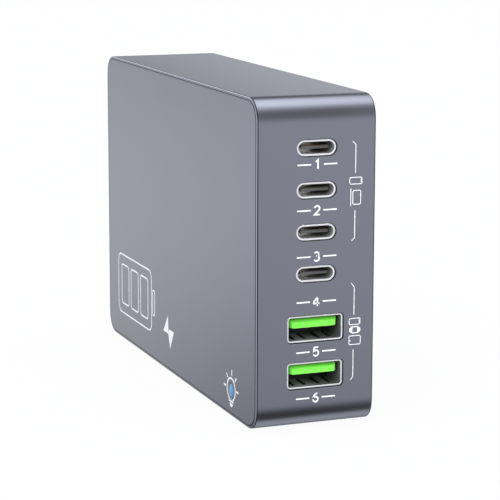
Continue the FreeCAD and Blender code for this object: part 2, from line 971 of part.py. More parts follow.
def bulk_places():
    """Y centres of the two bulk capacitors, from behind the switches to the rear of the board."""
    front_y = wound_y - transformer_width / 2
    return spread(front_y, board_rear_y, (bulk_length, bulk_length))


def output_capacitor(z):
    """Small can that stands on the main board."""
    foot = Vector(board_face_x, output_y, z)
    return rod(foot, foot - ACROSS * output_height, output_radius)


def output_capacitors():
    """Column of output capacitors."""
    heights = spread(column_low_z, column_top_z, (2 * output_radius,) * output_count)
    return Part.makeCompound([output_capacitor(z) for z in heights])


def port_inductors():
    """One shielded inductor for each socket, with cut corners."""
    coils = []
    for z in spread(light_zone_top_z, column_top_z, (port_inductor_size,) * port_total):
        coil = on_board(coil_y, z, port_inductor_size, port_inductor_size, port_inductor_height)
        coils.append(cut_corners(coil, port_inductor_corner_cut))
    return Part.makeCompound(coils)


def port_controllers():
    """One flat controller chip for each socket."""
    chips = []
    for z in spread(light_zone_top_z, column_top_z, (port_controller_size,) * port_total):
        size = port_controller_size
        chips.append(on_board(chip_y, z, size, size, port_controller_height))
    return Part.makeCompound(chips)


def bridging_capacitor(z):
    """Disc capacitor that stands on its edge across the safety gap of the main board."""
    x = board_face_x - bridging_lift - bridging_radius
    return rod(
        Vector(x, switch_y - bridging_thickness / 2, z),
        Vector(x, switch_y + bridging_thickness / 2, z),
        bridging_radius,
    )


def bridge_rectifier(z):
    """Upright rectifier block with one corner cut to mark its plus side."""
    bridge = on_board(filter_y, z, bridge_width, bridge_length, bridge_height)
    top_x = board_face_x - bridge_height
    marked = []
    for edge in bridge.Edges:
        middle = edge.CenterOfMass
        if abs(middle.x - top_x) < CLOSE and middle.z > z + bridge_length / 2 - CLOSE:
            marked.append(edge)
    return bridge.makeChamfer(bridge_corner_cut, marked)


def switch_column():
    """Parts in the column between the output side and the transformer, from the base up."""
    lengths = (
        (rectifier_length,) * rectifier_count
        + (coupler_length,) * coupler_count
        + (2 * bridging_radius, controller_length)
        + (switch_size,) * switch_count
    )
    heights = iter(spread(column_low_z, column_top_z, lengths))
    rectifiers = [
        on_board(switch_y, next(heights), rectifier_width, rectifier_length, rectifier_height)
        for _ in range(rectifier_count)
    ]
    couplers = [
        on_board(switch_y, next(heights), coupler_width, coupler_length, coupler_height)
        for _ in range(coupler_count)
    ]
    bridging = bridging_capacitor(next(heights))
    controller_z = next(heights)
    controller = on_board(switch_y, controller_z, controller_width, controller_length, controller_height)
    switches = [
        on_board(switch_y, next(heights), switch_size, switch_size, switch_height)
        for _ in range(switch_count)
    ]
    return {
        "output_rectifiers": Part.makeCompound(rectifiers),
        "optocouplers": Part.makeCompound(couplers),
        "bridging_capacitor": bridging,
        "primary_controller": controller,
        "power_switches": Part.makeCompound(switches),
    }


def filter_column():
    """Parts in the column next to the mains inlet, from the base up."""
    lengths = (fuse_length, filter_length, bridge_length)
    fuse_z, filter_z, bridge_z = spread(column_low_z, rear_column_top_z, lengths)
    return {
        "fuse": on_board(filter_y, fuse_z, fuse_width, fuse_length, fuse_height),
        "filter_capacitor": on_board(filter_y, filter_z, filter_width, filter_length, filter_height),
        "bridge_rectifier": bridge_rectifier(bridge_z),
    }


# Heat path
def thermal_pad(x_span):
    """Soft pad between the insulated inside and one side panel."""
    return block(x_span, span(0, pad_depth), span(mid_height, pad_height))


def heat_spreader():
    """Folded plate over the wound parts, with a leg down to the main board."""
    y_span = span(wound_y, transformer_width)
    top_z = inductor_z + inductor_length / 2 + spreader_overlap
    inner_z = spreader_leg_z + spreader_thickness
    plate = block((tray_rim_x, spreader_x), y_span, (spreader_leg_z, top_z))
    leg = block((tray_rim_x, board_face_x), y_span, (spreader_leg_z, inner_z))
    outer_fold = Vector(tray_rim_x, wound_y, spreader_leg_z)
    inner_fold = Vector(spreader_x, wound_y, inner_z)
    return folded(plate, leg, outer_fold, inner_fold, spreader_thickness, spreader_bend_radius)


def gap_pads():
    """Soft pads between the two wound parts and the heat spreader."""
    pads = []
    for z, width, length, height in (
        (transformer_z, transformer_width, transformer_core_length, transformer_height),
        (inductor_z, inductor_width, inductor_core_length, inductor_height),
    ):
        pads.append(block((board_face_x - height, spreader_x), span(wound_y, width), span(z, length)))
    return Part.makeCompound(pads)


def all_nodes():
    """Every piece of the charger by its node name."""
    nodes = {
        "wrap_frame": wrap_frame(),
        "left_side_panel": left_side_panel(),
        "right_side_panel": side_panel(1),
        "insulating_tray": insulating_tray(),
        "insulating_sheet": insulating_sheet(),
        "main_board": main_board(),
        "port_board": port_board(),
        "inlet_body": inlet_body(),
        "inlet_pins": Part.makeCompound([inlet_pin(z) for z in pin_heights()]),
        "inlet_straps": Part.makeCompound([inlet_strap(z) for z in pin_heights()]),
        "light_pipe": light_pipe(),
        "status_light": status_light(),
        "choke_core": choke_core(),
        "choke_windings": choke_windings(),
        "output_capacitors": output_capacitors(),
        "port_inductors": port_inductors(),
        "port_controllers": port_controllers(),
        "left_thermal_pad": thermal_pad((-panel_inner_x, sheet_outer_x)),
        "right_thermal_pad": thermal_pad((tray_back_x, panel_inner_x)),
        "heat_spreader": heat_spreader(),
        "gap_pads": gap_pads(),
    }
    for number, z in enumerate(oval_heights, 1):
        nodes[f"oval_port_{number}_shell"] = oval_shell(z)
        nodes[f"oval_port_{number}_tongue"] = oval_tongue(z)
        nodes[f"oval_port_{number}_contacts"] = oval_contacts(z)
    for number, z in enumerate(wide_heights, 1):
        nodes[f"wide_port_{number}_shell"] = wide_shell(z)
        nodes[f"wide_port_{number}_tongue"] = wide_tongue(z)
        nodes[f"wide_port_{number}_contacts"] = wide_contacts(z)
    for place, y in zip(("front", "rear"), bulk_places()):
        nodes[f"bulk_capacitor_{place}"] = bulk_capacitor(y)
    wound = {
        "transformer": wound_part(
            wound_y,
            transformer_z,
            transformer_width,
            transformer_core_length,
            transformer_height,
            transformer_plate,
            transformer_leg,
            transformer_post_width,
        ),
        "inductor": wound_part(
            wound_y,
            inductor_z,
            inductor_width,
            inductor_core_length,
            inductor_height,
            inductor_plate,
            inductor_leg,
            inductor_post_width,
        ),
    }
    for name, pieces in wound.items():
        for piece, shape in zip(("core_lower", "core_upper", "bobbin", "winding"), pieces):
            nodes[f"{name}_{piece}"] = shape
    nodes.update(switch_column())
    nodes.update(filter_column())
    return nodes


def main():
    """Build every piece and write it as one STEP file."""
    os.makedirs("parts", exist_ok=True)
    for name, shape in all_nodes().items():
        shape.exportStep(f"parts/{name}.step")


main()
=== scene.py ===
"""Looks of a six-port desktop charger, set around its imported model.

Sizes are in millimetres in the classes below and become metres when a mesh is made. The frame is
the model's own: the middle of the base is the origin, +Z is up, the sockets face -Y and the panel
with the lit window faces -X.
"""
import json
import logging
import math
from dataclasses import dataclass
from enum import Enum, IntEnum
from typing import Any, Iterable, Optional, Sequence, Union

import bmesh
import bpy
import numpy as np
from mathutils import Matrix, Vector

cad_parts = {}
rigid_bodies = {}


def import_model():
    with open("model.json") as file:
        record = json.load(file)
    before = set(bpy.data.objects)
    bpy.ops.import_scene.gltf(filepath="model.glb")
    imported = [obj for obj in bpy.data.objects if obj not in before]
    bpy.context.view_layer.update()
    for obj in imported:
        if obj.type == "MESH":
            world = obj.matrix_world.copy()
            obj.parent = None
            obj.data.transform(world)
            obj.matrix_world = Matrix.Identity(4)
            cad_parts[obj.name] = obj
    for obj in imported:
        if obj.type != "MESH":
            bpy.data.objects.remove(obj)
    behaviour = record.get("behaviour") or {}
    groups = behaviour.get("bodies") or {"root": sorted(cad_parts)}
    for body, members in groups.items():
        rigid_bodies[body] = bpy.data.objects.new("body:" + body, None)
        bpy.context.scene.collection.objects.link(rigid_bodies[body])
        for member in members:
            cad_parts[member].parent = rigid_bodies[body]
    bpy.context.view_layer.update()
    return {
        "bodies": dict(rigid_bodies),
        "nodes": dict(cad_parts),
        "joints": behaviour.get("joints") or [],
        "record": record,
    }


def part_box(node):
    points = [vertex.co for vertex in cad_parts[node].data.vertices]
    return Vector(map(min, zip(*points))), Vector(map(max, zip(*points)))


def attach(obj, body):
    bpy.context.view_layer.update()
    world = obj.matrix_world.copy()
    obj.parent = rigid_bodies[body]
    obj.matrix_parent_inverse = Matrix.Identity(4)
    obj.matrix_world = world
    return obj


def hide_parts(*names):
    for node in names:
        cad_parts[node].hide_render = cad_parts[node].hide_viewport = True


MM = 0.001
BODY = "root"
LOG = logging.getLogger("charger")

Pair = tuple[float, float]
Triple = tuple[float, float, float]
Colour = Triple
Breaks = Sequence[Sequence[float]]

# Sizes and places that several classes share
WIDTH = 28.0
DEPTH = 109.0
HEIGHT = 74.0
OVAL_HEIGHTS = (62.9, 53.6, 44.3, 35.0)
WIDE_HEIGHTS = (22.7, 12.2)
SOCKET_FRONT = -54.1
LIGHT_PLACE = (-38.7, 5.9)
INLET_HEIGHT = 20.0
INLET_PITCH = 8.6
INLET_FLANGE = 0.8

# Limits under which two places count as one, in millimetres, and in metres when a mesh is welded
NEAR = 1e-6
TINY = 1e-9
WELD = 2e-7
SLIVER = 1e-8

# Edges that turn by more than this angle in degrees stay sharp
SHARP_ANGLE = 32.0

# Quarters of a loop in the order of an anticlockwise walk, and a loop with no extra points
CORNERS = ((1, 1), (-1, 1), (-1, -1), (1, -1))
NO_BREAKS: Breaks = ((), (), (), ())


# Shader expressions
class Tree:
    """The node tree of one material or world, with one way to add a node."""

    noise_roughness: float = 0.55
    # Numbers of the Mix node's factor and two colours, and of the colour that it gives
    mix_inputs: tuple[int, int, int] = (0, 6, 7)
    mix_output: int = 2

    def __init__(self, owner: Any) -> None:
        """Start with an empty tree.

        Args:
            owner: The material or world that gets the tree.
        """
        owner.use_nodes = True
        self.nodes = owner.node_tree.nodes
        self.links = owner.node_tree.links
        self.nodes.clear()

    def add(self, kind: str, settings: Optional[dict] = None, **sockets: Any) -> Any:
        """Add a node.

        Args:
            kind: The node's Blender type.
            settings: Node properties, set before the sockets.
            sockets: A value or a Term for each input, by its name with _ for a space.

        Returns:
            The new node.
        """
        node = self.nodes.new(kind)
        for name, value in (settings or {}).items():
            setattr(node, name, value)
        for name, value in sockets.items():
            self.feed(node, name.replace("_", " "), value)
        return node

    def feed(self, node: Any, name: Union[str, int], value: Any) -> None:
        """Set one input of a node, or link it.

        Args:
            node: The node.
            name: Name or number of the input.
            value: A value, or a Term to link.
        """
        socket = node.inputs[name]
        if isinstance(value, Term):
            self.links.new(value.socket, socket)
        elif isinstance(value, tuple) and len(value) == 3 and socket.type == "RGBA":
            socket.default_value = (*value, 1.0)
        else:
            socket.default_value = value

    def term(self, node: Any, output: Union[str, int] = 0) -> "Term":
        """Wrap one output of a node."""
        return Term(self, node.outputs[output])

    def show(self, shader: Any, output: str = "ShaderNodeOutputMaterial") -> None:
        """Link a shader to a new output node."""
        self.feed(self.add(output), 0, self.term(shader))

    def object_point(self) -> "Term":
        """Place on the piece in its own frame, in metres."""
        return self.term(self.add("ShaderNodeTexCoord"), "Object")

    def part(self, vector: "Term", axis: str) -> "Term":
        """One coordinate of a vector."""
        return self.term(self.add("ShaderNodeSeparateXYZ", Vector=vector), axis)

    def noise(self, size: float, detail: float = 2.0, stretch: Triple = (1.0, 1.0, 1.0)) -> "Term":
        """Smooth noise from 0 to 1.

        Args:
            size: Size of its features in millimetres.
            detail: Number of finer layers.
            stretch: Scale of the place on each axis, under 1 for features drawn out along it.

        Returns:
            The noise.
        """
        place = self.add("ShaderNodeMapping", Vector=self.object_point(), Scale=stretch)
        node = self.add(
            "ShaderNodeTexNoise",
            Vector=self.term(place),
            Scale=1.0 / (size * MM),
            Detail=detail,
            Roughness=self.noise_roughness,
        )
        return self.term(node)

    def mix(self, factor: "Term", low: Any, high: Any) -> "Term":
        """Colour between two colours.

        Args:
            factor: Share of the second colour.
            low: First colour, a value or a Term.
            high: Second colour, a value or a Term.

        Returns:
            The mixed colour.
        """
        node = self.add("ShaderNodeMix", {"data_type": "RGBA"})
        for index, value in zip(self.mix_inputs, (factor, low, high)):
            self.feed(node, index, value)
        return self.term(node, self.mix_output)

    def bump(self, height: "Term", depth: float) -> "Term":
        """Normal bent by a height from 0 to 1 that stands for a depth in millimetres."""
        node = self.add("ShaderNodeBump", Strength=1.0, Distance=depth * MM, Height=height)
        return self.term(node)

    def by_ray(self, seen: Any, others: Any, share: float = 1.0) -> Any:
        """Show one shader to the camera and another to every other ray.

        Args:
            seen: Shader for the rays of the camera.
            others: Shader for all other rays.
            share: Part that the first has in what the camera sees.

        Returns:
            The node that mixes them.
        """
        camera_ray = self.term(self.add("ShaderNodeLightPath"), "Is Camera Ray")
        node = self.add("ShaderNodeMixShader")
        for index, value in enumerate((share * camera_ray, self.term(others), self.term(seen))):
            self.feed(node, index, value)
        return node


class Term:
    """A shader value that takes part in arithmetic, each operator adding one Math node."""

    def __init__(self, tree: Tree, socket: Any) -> None:
        """Wrap an output socket of a tree."""
        self.tree = tree
        self.socket = socket

    def _math(self, operation: str, first: Any, second: Any = 0.0) -> "Term":
        """Add one Math node.

        Args:
            operation: What the node works out.
            first: Its first value, a number or a Term.
            second: Its second value, a number or a Term.

        Returns:
            The result.
        """
        node = self.tree.add("ShaderNodeMath", {"operation": operation})
        self.tree.feed(node, 0, first)
        self.tree.feed(node, 1, second)
        return self.tree.term(node)

    def __add__(self, other: Any) -> "Term":
        """Sum."""
        return self._math("ADD", self, other)

    __radd__ = __add__

    def __sub__(self, other: Any) -> "Term":
        """Difference."""
        return self._math("SUBTRACT", self, other)

    def __rsub__(self, other: Any) -> "Term":
        """Difference from a value on the left."""
        return self._math("SUBTRACT", other, self)

    def __mul__(self, other: Any) -> "Term":
        """Product."""
        return self._math("MULTIPLY", self, other)

    __rmul__ = __mul__

    def __pow__(self, other: Any) -> "Term":
        """Power."""
        return self._math("POWER", self, other)

    def sine(self) -> "Term":
        """Sine of the value in radians."""
        return self._math("SINE", self)

    def step(self, low: float, high: float) -> "Term":
        """Smooth rise of the value.

        Args:
            low: The value up to which the rise is 0.
            high: The value from which it is 1.

        Returns:
            The rise from 0 to 1.
        """
        node = self.tree.add(
            "ShaderNodeMapRange",
            {"interpolation_type": "SMOOTHSTEP"},
            Value=self,
            From_Min=low,
            From_Max=high,
        )
        return self.tree.term(node)


# Finishes
class Grain(Enum):
    """The fine structure that a finish shows."""

    BLASTED = "even fine pits of a blasted metal"
    DRAWN = "fine lines of drawn or brushed metal"
    MOULDED = "soft irregular skin of a moulding"
    TURNS = "round turns of wire laid side by side"
    WOVEN = "crossed threads of glass laminate"
    SPECKLED = "dark and light grains of a pressed powder"
    INKED = "slightly uneven layer of printing ink"


# Layers of noise in a grain, and how far the lines of drawn metal are drawn out
NOISE_DETAIL = {Grain.BLASTED: 1.0, Grain.DRAWN: 3.0}
OTHER_DETAIL = 4.0
DRAWN_STRETCH = 0.02

# Weight of large patches against the grain, and the range of their sum that blends the two tones
PATCH_SHARE = 0.55
TONE_RANGE = (0.25, 0.75)
COAT_ROUGHNESS = 0.12
BLACK: Colour = (0.0, 0.0, 0.0)


@dataclass(frozen=True)
class Finish:
    """One finish, with two tones that the grain mixes and a roughness that follows it.

    A finish with a painted side shade also turns darker and less metallic by that share from the
    left to the right end of a span along X: painted shade for the shadow that a socket's right edge
    casts inside it. One with a shade darkens by that share from the inside of a socket, the second
    place along Y, to its mouth, the first: painted shade near the mouth.
    """

    name: str
    tone: Colour
    tone_2: Colour
    grain: Grain
    size: float
    depth: float
    roughness: float
    spread: float = 0.06
    metallic: float = 0.0
    coat: float = 0.0
    axis: str = "Y"
    patch: float = 18.0
    painted_side_shade: float = 0.0
    span: Pair = (-2.4, 2.2)
    shade: float = 0.0
    shade_span: Pair = (SOCKET_FRONT, -51.4)

    def wave(self, tree: Tree, axis: str) -> Term:
        """Sine of the place along an axis, brought to 0 to 1, one period for each grain size."""
        rate = 2.0 * math.pi / (self.size * MM)
        return 0.5 + 0.5 * (tree.part(tree.object_point(), axis) * rate).sine()

    def height(self, tree: Tree) -> Term:
        """Height of the grain from 0 to 1.

        Args:
            tree: The material's tree.

        Returns:
            The root of a wave for round turns, a product of two waves for crossed threads, and
            otherwise noise, drawn out along the axis for drawn metal.
        """
        if self.grain is Grain.TURNS:
            return self.wave(tree, self.axis) ** 0.5
        if self.grain is Grain.WOVEN:
            return self.wave(tree, self.axis) * self.wave(tree, "Z")
        stretch = (1.0, 1.0, 1.0)
        if self.grain is Grain.DRAWN:
            stretch = tuple(DRAWN_STRETCH if axis == self.axis else 1.0 for axis in "XYZ")
        return tree.noise(self.size, NOISE_DETAIL.get(self.grain, OTHER_DETAIL), stretch)

    def material(self) -> bpy.types.Material:
        """Make the material: tones mixed by patches and grain, roughness and bump from the grain.

        Returns:
            The material.
        """
        material = bpy.data.materials.new(self.name)
        tree = Tree(material)
        height = self.height(tree)
        share = PATCH_SHARE * tree.noise(self.patch) + (1.0 - PATCH_SHARE) * height
        colour = tree.mix(share.step(*TONE_RANGE), self.tone, self.tone_2)
        metallic: Union[float, Term] = self.metallic
        # Painted side shade: darker and less metallic towards the right, for the shadow of the right
        # edge
        if self.painted_side_shade:
            start, end = self.span
            across = tree.part(tree.object_point(), "X").step(start * MM, end * MM)
            colour = tree.mix(self.painted_side_shade * across, colour, BLACK)
            if self.metallic:
                metallic = self.metallic * (1.0 - self.painted_side_shade * across)
        # Painted shade: darker towards the socket's mouth
        if self.shade:
            start, end = self.shade_span
            inside = tree.part(tree.object_point(), "Y").step(start * MM, end * MM)
            colour = tree.mix(self.shade * (1.0 - inside), colour, BLACK)
        shader = tree.add(
            "ShaderNodeBsdfPrincipled",
            Base_Color=colour,
            Roughness=self.roughness + self.spread * (share - 0.5),
            Metallic=metallic,
            Coat_Weight=self.coat,
            Coat_Roughness=COAT_ROUGHNESS,
            Normal=tree.bump(height, self.depth),
        )
        self.light_up(tree, shader)
        tree.show(shader)
        return material

    def light_up(self, tree: Tree, shader: Any) -> None:
        """Leave the finish without light of its own."""


@dataclass(frozen=True)
class LitFinish(Finish):
    """A clear plastic lit from behind, brightest in the middle of a window."""

    centre: Pair = LIGHT_PLACE
    reach: float = 1.7
    falloff: Pair = (0.62, 1.05)
    squeeze: float = 1.35
    core: Colour = (0.012, 0.272, 0.55)
    edge: Colour = (0.035, 0.075, 0.13)
    strength: float = 0.75

    def light_up(self, tree: Tree, shader: Any) -> None:
        """Feed the emission with a glow that falls off with the distance from the centre.

        Along Y the distance counts more, so the lit spot is taller than wide. The glow falls from
        the core's colour to the edge's between two shares of the reach.

        Args:
            tree: The material's tree.
            shader: The Principled node.
        """
        place = tree.object_point()
        y, z = (value * MM for value in self.centre)
        start, end = (share * self.reach * MM for share in self.falloff)
        along = (tree.part(place, "Y") - y) * self.squeeze
        up = tree.part(place, "Z") - z
        away = (along * along + up * up) ** 0.5
        glow = 1.0 - away.step(start, end)
        tree.feed(shader, "Emission Color", tree.mix(glow, self.edge, self.core))
        tree.feed(shader, "Emission Strength", self.strength)


FINISHES = (
    Finish("frame_metal", (0.275, 0.284, 0.330), (0.288, 0.298, 0.344), Grain.BLASTED,
           size=0.09, depth=0.003, roughness=0.25, spread=0.04, metallic=1.0),
    Finish("panel_metal", (0.249, 0.257, 0.288), (0.262, 0.270, 0.300), Grain.BLASTED,
           size=0.09, depth=0.003, roughness=0.21, spread=0.04, metallic=1.0),
    Finish("cut_rim", (0.290, 0.300, 0.345), (0.310, 0.320, 0.365), Grain.DRAWN,
           size=0.06, depth=0.001, roughness=0.22, spread=0.04, metallic=1.0),
    # Painted shade: a dark line on the rim's rounding beside the face
    Finish("rim_shade_line", (0.030, 0.031, 0.036), (0.040, 0.041, 0.047), Grain.DRAWN,
           size=0.06, depth=0.001, roughness=0.30, spread=0.04, metallic=1.0),
    # Painted shade: near-black walls of cuts, seams and slots, where the housing's own metal lies in
    # shade
    Finish("shaded_cut_wall", (0.020, 0.020, 0.024), (0.034, 0.034, 0.038), Grain.DRAWN,
           size=0.08, depth=0.002, roughness=0.60),
    Finish("socket_shell", (0.82, 0.82, 0.84), (0.87, 0.87, 0.89), Grain.DRAWN,
           size=0.05, depth=0.0008, roughness=0.26, metallic=0.62),
    # Inside of the oval shells: painted side shade towards the right and painted shade near the
    # mouth
    Finish("oval_inside", (0.86, 0.86, 0.84), (0.92, 0.92, 0.90), Grain.DRAWN,
           size=0.08, depth=0.0005, roughness=0.20, metallic=0.68, painted_side_shade=0.62, shade=0.12),
    # Inside of the wide shells: the shell's steel in a darker tone, painted shade of the deep
    # socket, with painted side shade
    Finish("shaded_wide_inside", (0.27, 0.27, 0.265), (0.34, 0.34, 0.33), Grain.DRAWN,
           size=0.08, depth=0.001, roughness=0.40, spread=0.08, metallic=0.40, painted_side_shade=0.58),
    # Oval plugs: painted side shade, dark at the right, for the shadow of the socket's right edge
    Finish("oval_plug", (0.84, 0.84, 0.82), (0.88, 0.88, 0.86), Grain.MOULDED,
           size=0.2, depth=0.004, roughness=0.50, painted_side_shade=0.92, span=(0.6, 2.4)),
    # Oval tongues: a slight painted side shade towards the right
    Finish("socket_plastic", (0.075, 0.075, 0.073), (0.095, 0.095, 0.093), Grain.MOULDED,
           size=0.2, depth=0.004, roughness=0.45, painted_side_shade=0.30),
    # Painted shade: the wide tongues' plugs, one moulding with the green tongue, near black where
    # they lie in shade
    Finish("shaded_socket_back", (0.005, 0.005, 0.006), (0.010, 0.010, 0.011), Grain.MOULDED,
           size=0.2, depth=0.004, roughness=0.60),
    Finish("green_plastic", (0.150, 0.72, 0.055), (0.18, 0.78, 0.07), Grain.MOULDED,
           size=0.25, depth=0.003, roughness=0.36, coat=0.15),
    Finish("contact_gilt", (0.66, 0.53, 0.32), (0.76, 0.63, 0.42), Grain.DRAWN,
           size=0.04, depth=0.0006, roughness=0.22, spread=0.08, metallic=1.0),
    Finish("inlet_plastic", (0.020, 0.020, 0.022), (0.032, 0.032, 0.034), Grain.MOULDED,
           size=0.22, depth=0.006, roughness=0.48),
    Finish("pin_plating", (0.74, 0.73, 0.70), (0.84, 0.83, 0.80), Grain.DRAWN,
           size=0.05, depth=0.001, roughness=0.20, spread=0.08, metallic=1.0),
    Finish("strap_metal", (0.62, 0.60, 0.55), (0.74, 0.72, 0.68), Grain.DRAWN,
           size=0.05, depth=0.001, roughness=0.32, spread=0.1, metallic=1.0),
    LitFinish("light_window", (0.02, 0.07, 0.13), (0.03, 0.10, 0.17), Grain.MOULDED,
              size=0.3, depth=0.002, roughness=0.22, coat=0.4),
    Finish("light_chip", (0.86, 0.82, 0.55), (0.94, 0.90, 0.66), Grain.MOULDED,
           size=0.3, depth=0.002, roughness=0.35, coat=0.3),
    Finish("insulating_plastic", (0.020, 0.020, 0.022), (0.035, 0.035, 0.038), Grain.MOULDED,
           size=0.4, depth=0.008, roughness=0.55),
    Finish("insulating_film", (0.62, 0.62, 0.57), (0.72, 0.72, 0.67), Grain.MOULDED,
           size=1.2, depth=0.004, roughness=0.42),
    Finish("thermal_pad", (0.36, 0.41, 0.50), (0.46, 0.51, 0.60), Grain.SPECKLED,
           size=0.35, depth=0.01, roughness=0.72),
    Finish("board_laminate", (0.012, 0.090, 0.040), (0.030, 0.150, 0.070), Grain.WOVEN,
           size=0.8, depth=0.004, roughness=0.34, coat=0.3),
    Finish("dark_epoxy", (0.022, 0.022, 0.025), (0.040, 0.040, 0.043), Grain.SPECKLED,
           size=0.12, depth=0.005, roughness=0.58),
    Finish("filter_box", (0.72, 0.52, 0.04), (0.82, 0.62, 0.08), Grain.MOULDED,
           size=0.5, depth=0.006, roughness=0.40),
    Finish("ferrite", (0.045, 0.045, 0.050), (0.085, 0.085, 0.090), Grain.SPECKLED,
           size=0.10, depth=0.008, roughness=0.50),
    Finish("copper_wire", (0.42, 0.15, 0.05), (0.72, 0.34, 0.14), Grain.TURNS,
           size=0.7, depth=0.12, roughness=0.30, spread=0.1, metallic=0.9, axis="X"),
    Finish("winding_tape", (0.72, 0.52, 0.04), (0.84, 0.66, 0.12), Grain.MOULDED,
           size=0.9, depth=0.01, roughness=0.30, coat=0.3),
    Finish("bobbin_plastic", (0.050, 0.042, 0.036), (0.075, 0.065, 0.055), Grain.MOULDED,
           size=0.3, depth=0.006, roughness=0.52),
    Finish("capacitor_sleeve", (0.020, 0.030, 0.070), (0.035, 0.050, 0.105), Grain.MOULDED,
           size=1.4, depth=0.012, roughness=0.26, coat=0.3),
    Finish("capacitor_can", (0.66, 0.66, 0.67), (0.78, 0.78, 0.79), Grain.DRAWN,
           size=0.08, depth=0.002, roughness=0.34, spread=0.1, metallic=1.0, axis="X"),
    Finish("disc_glaze", (0.05, 0.17, 0.45), (0.09, 0.25, 0.56), Grain.MOULDED,
           size=0.6, depth=0.012, roughness=0.25, coat=0.5),
    Finish("spreader_metal", (0.62, 0.62, 0.63), (0.74, 0.74, 0.75), Grain.DRAWN,
           size=0.10, depth=0.003, roughness=0.38, spread=0.1, metallic=1.0, axis="Z"),
    Finish("print_ink", (0.76, 0.76, 0.775), (0.83, 0.83, 0.845), Grain.INKED,
           size=0.15, depth=0.002, roughness=0.55),
)


class Finishes:
    """Every finish of the charger, made once and handed out by name."""

    def __init__(self) -> None:
        """Start with the list of finishes and no material."""
        self._rows = {row.name: row for row in FINISHES}
        self._made: dict[str, bpy.types.Material] = {}

    def get(self, name: str) -> bpy.types.Material:
        """Hand out the material of a finish, made on its first use.

        Args:
            name: Name of the finish.

        Returns:
            The material.
        """
        if name not in self._made:
            self._made[name] = self._rows[name].material()
        return self._made[name]

    def several(self, *names: str) -> list[bpy.types.Material]:
        """Hand out the materials of several finishes, in the order of the names."""
        return [self.get(name) for name in names]


# Surfaces worked out as whole arrays
@dataclass
class Surface:
    """Points in millimetres and four-cornered faces, each face with the number of its finish.

    A face with three corners repeats one of its points.
    """

    points: np.ndarray
    faces: np.ndarray
    finish: np.ndarray

    @staticmethod
    def of(points: np.ndarray, faces: np.ndarray, finish: Union[int, np.ndarray] = 0) -> "Surface":
        """Bring points and faces of any array shape into a surface.

        Args:
            points: Points with three coordinates.
            faces: Numbers of the four points of each face.
            finish: One finish number, or one for each face.

        Returns:
            The surface.
        """
        corners = faces.reshape(-1, 4).astype(int)
        numbers = np.broadcast_to(np.asarray(finish, dtype=int), (len(corners),)).copy()
        return Surface(points.reshape(-1, 3).astype(float), corners, numbers)

    @staticmethod
    def joined(parts: Iterable["Surface"]) -> "Surface":
        """Join surfaces, their faces renumbered to the joined points.

        Args:
            parts: The surfaces.

        Returns:
            One surface.
        """
        parts = list(parts)
        starts = np.cumsum([0] + [len(part.points) for part in parts[:-1]])
        return Surface(
            np.concatenate([part.points for part in parts]),
            np.concatenate([part.faces + start for part, start in zip(parts, starts)]),
            np.concatenate([part.finish for part in parts]),
        )

    def where(self, keep: np.ndarray) -> "Surface":
        """The surface with only the faces that a mask keeps."""
        return Surface(self.points, self.faces[keep], self.finish[keep])

    def piece(self, name: str, slot: str, materials: Sequence[bpy.types.Material]) -> Any:
        """Make the object: weld equal points, turn the faces outwards, smooth all but sharp edges.

        Args:
            name: Name of the piece.
            slot: The record's material slot; not used.
            materials: A material for each finish number.

        Returns:
            The new object, which rides on the charger's body.
        """
        mesh = bpy.data.meshes.new(name)
        corners = [tuple(dict.fromkeys(face)) for face in self.faces.tolist()]
        keep = np.array([len(face) > 2 for face in corners])
        sides = [face for face in corners if len(face) > 2]
        mesh.from_pydata((self.points * MM).tolist(), [], sides)
        mesh.polygons.foreach_set("material_index", self.finish[keep].astype(np.int32))
        for material in materials:
            mesh.materials.append(material)
        shape = bmesh.new()
        shape.from_mesh(mesh)
        bmesh.ops.remove_doubles(shape, verts=shape.verts, dist=WELD)
        bmesh.ops.dissolve_degenerate(shape, edges=shape.edges, dist=SLIVER)
        bmesh.ops.recalc_face_normals(shape, faces=shape.faces)
        shape.to_mesh(mesh)
        shape.free()
        mesh.shade_smooth()
        mesh.set_sharp_from_angle(angle=math.radians(SHARP_ANGLE))
        piece = bpy.data.objects.new(name, mesh)
        bpy.context.scene.collection.objects.link(piece)
        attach(piece, BODY)
        LOG.info("piece %s: %d faces", name, len(mesh.polygons))
        return piece


def side_points(half_a: float, half_b: float, breaks: Breaks) -> tuple[np.ndarray, ...]:
    """Points on the four sides of a rectangle about the origin, in an anticlockwise walk.

    Args:
        half_a: Half its size along the first axis.
        half_b: Half its size along the second axis.
        breaks: Places of the points along the top, left, bottom and right side.

    Returns:
        An array of points for each side.
    """
    top, left, bottom, right = (np.sort(np.asarray(side, dtype=float)) for side in breaks)
    return (
        np.column_stack([top[::-1], np.full(top.size, half_b)]),
        np.column_stack([np.full(left.size, -half_a), left[::-1]]),
        np.column_stack([bottom, np.full(bottom.size, -half_b)]),
        np.column_stack([np.full(right.size, half_a), right]),
    )


def rounded_loop(
    width: float, height: float, radius: float, arc_steps: int, breaks: Breaks = NO_BREAKS
) -> np.ndarray:
    """Closed loop of a rounded rectangle about the origin.

    It runs anticlockwise from the right end of the top right arc. Each corner is an arc: its centre
    plus the radius times the cosine and sine of evenly spaced angles. The breaks add points on the
    sides, so loops of one kind keep one count of points whatever their size.

    Args:
        width: Full size along the first axis.
        height: Full size along the second axis.
        radius: Corner radius, 0 for a plain rectangle, whose corner points then repeat.
        arc_steps: Steps in each corner arc.
        breaks: Places of extra points along each straight side.

    Returns:
        Array of N points with two coordinates.
    """
    turn = np.linspace(0.0, 0.5 * np.pi, arc_steps + 1)
    half = np.array([width / 2, height / 2])
    sides = side_points(*half, breaks)
    parts = []
    for index, signs in enumerate(CORNERS):
        angle = turn + index * np.pi / 2
        arc = np.column_stack([np.cos(angle), np.sin(angle)]) * radius
        parts.extend([arc + np.array(signs) * (half - radius), sides[index]])
    return np.concatenate(parts)


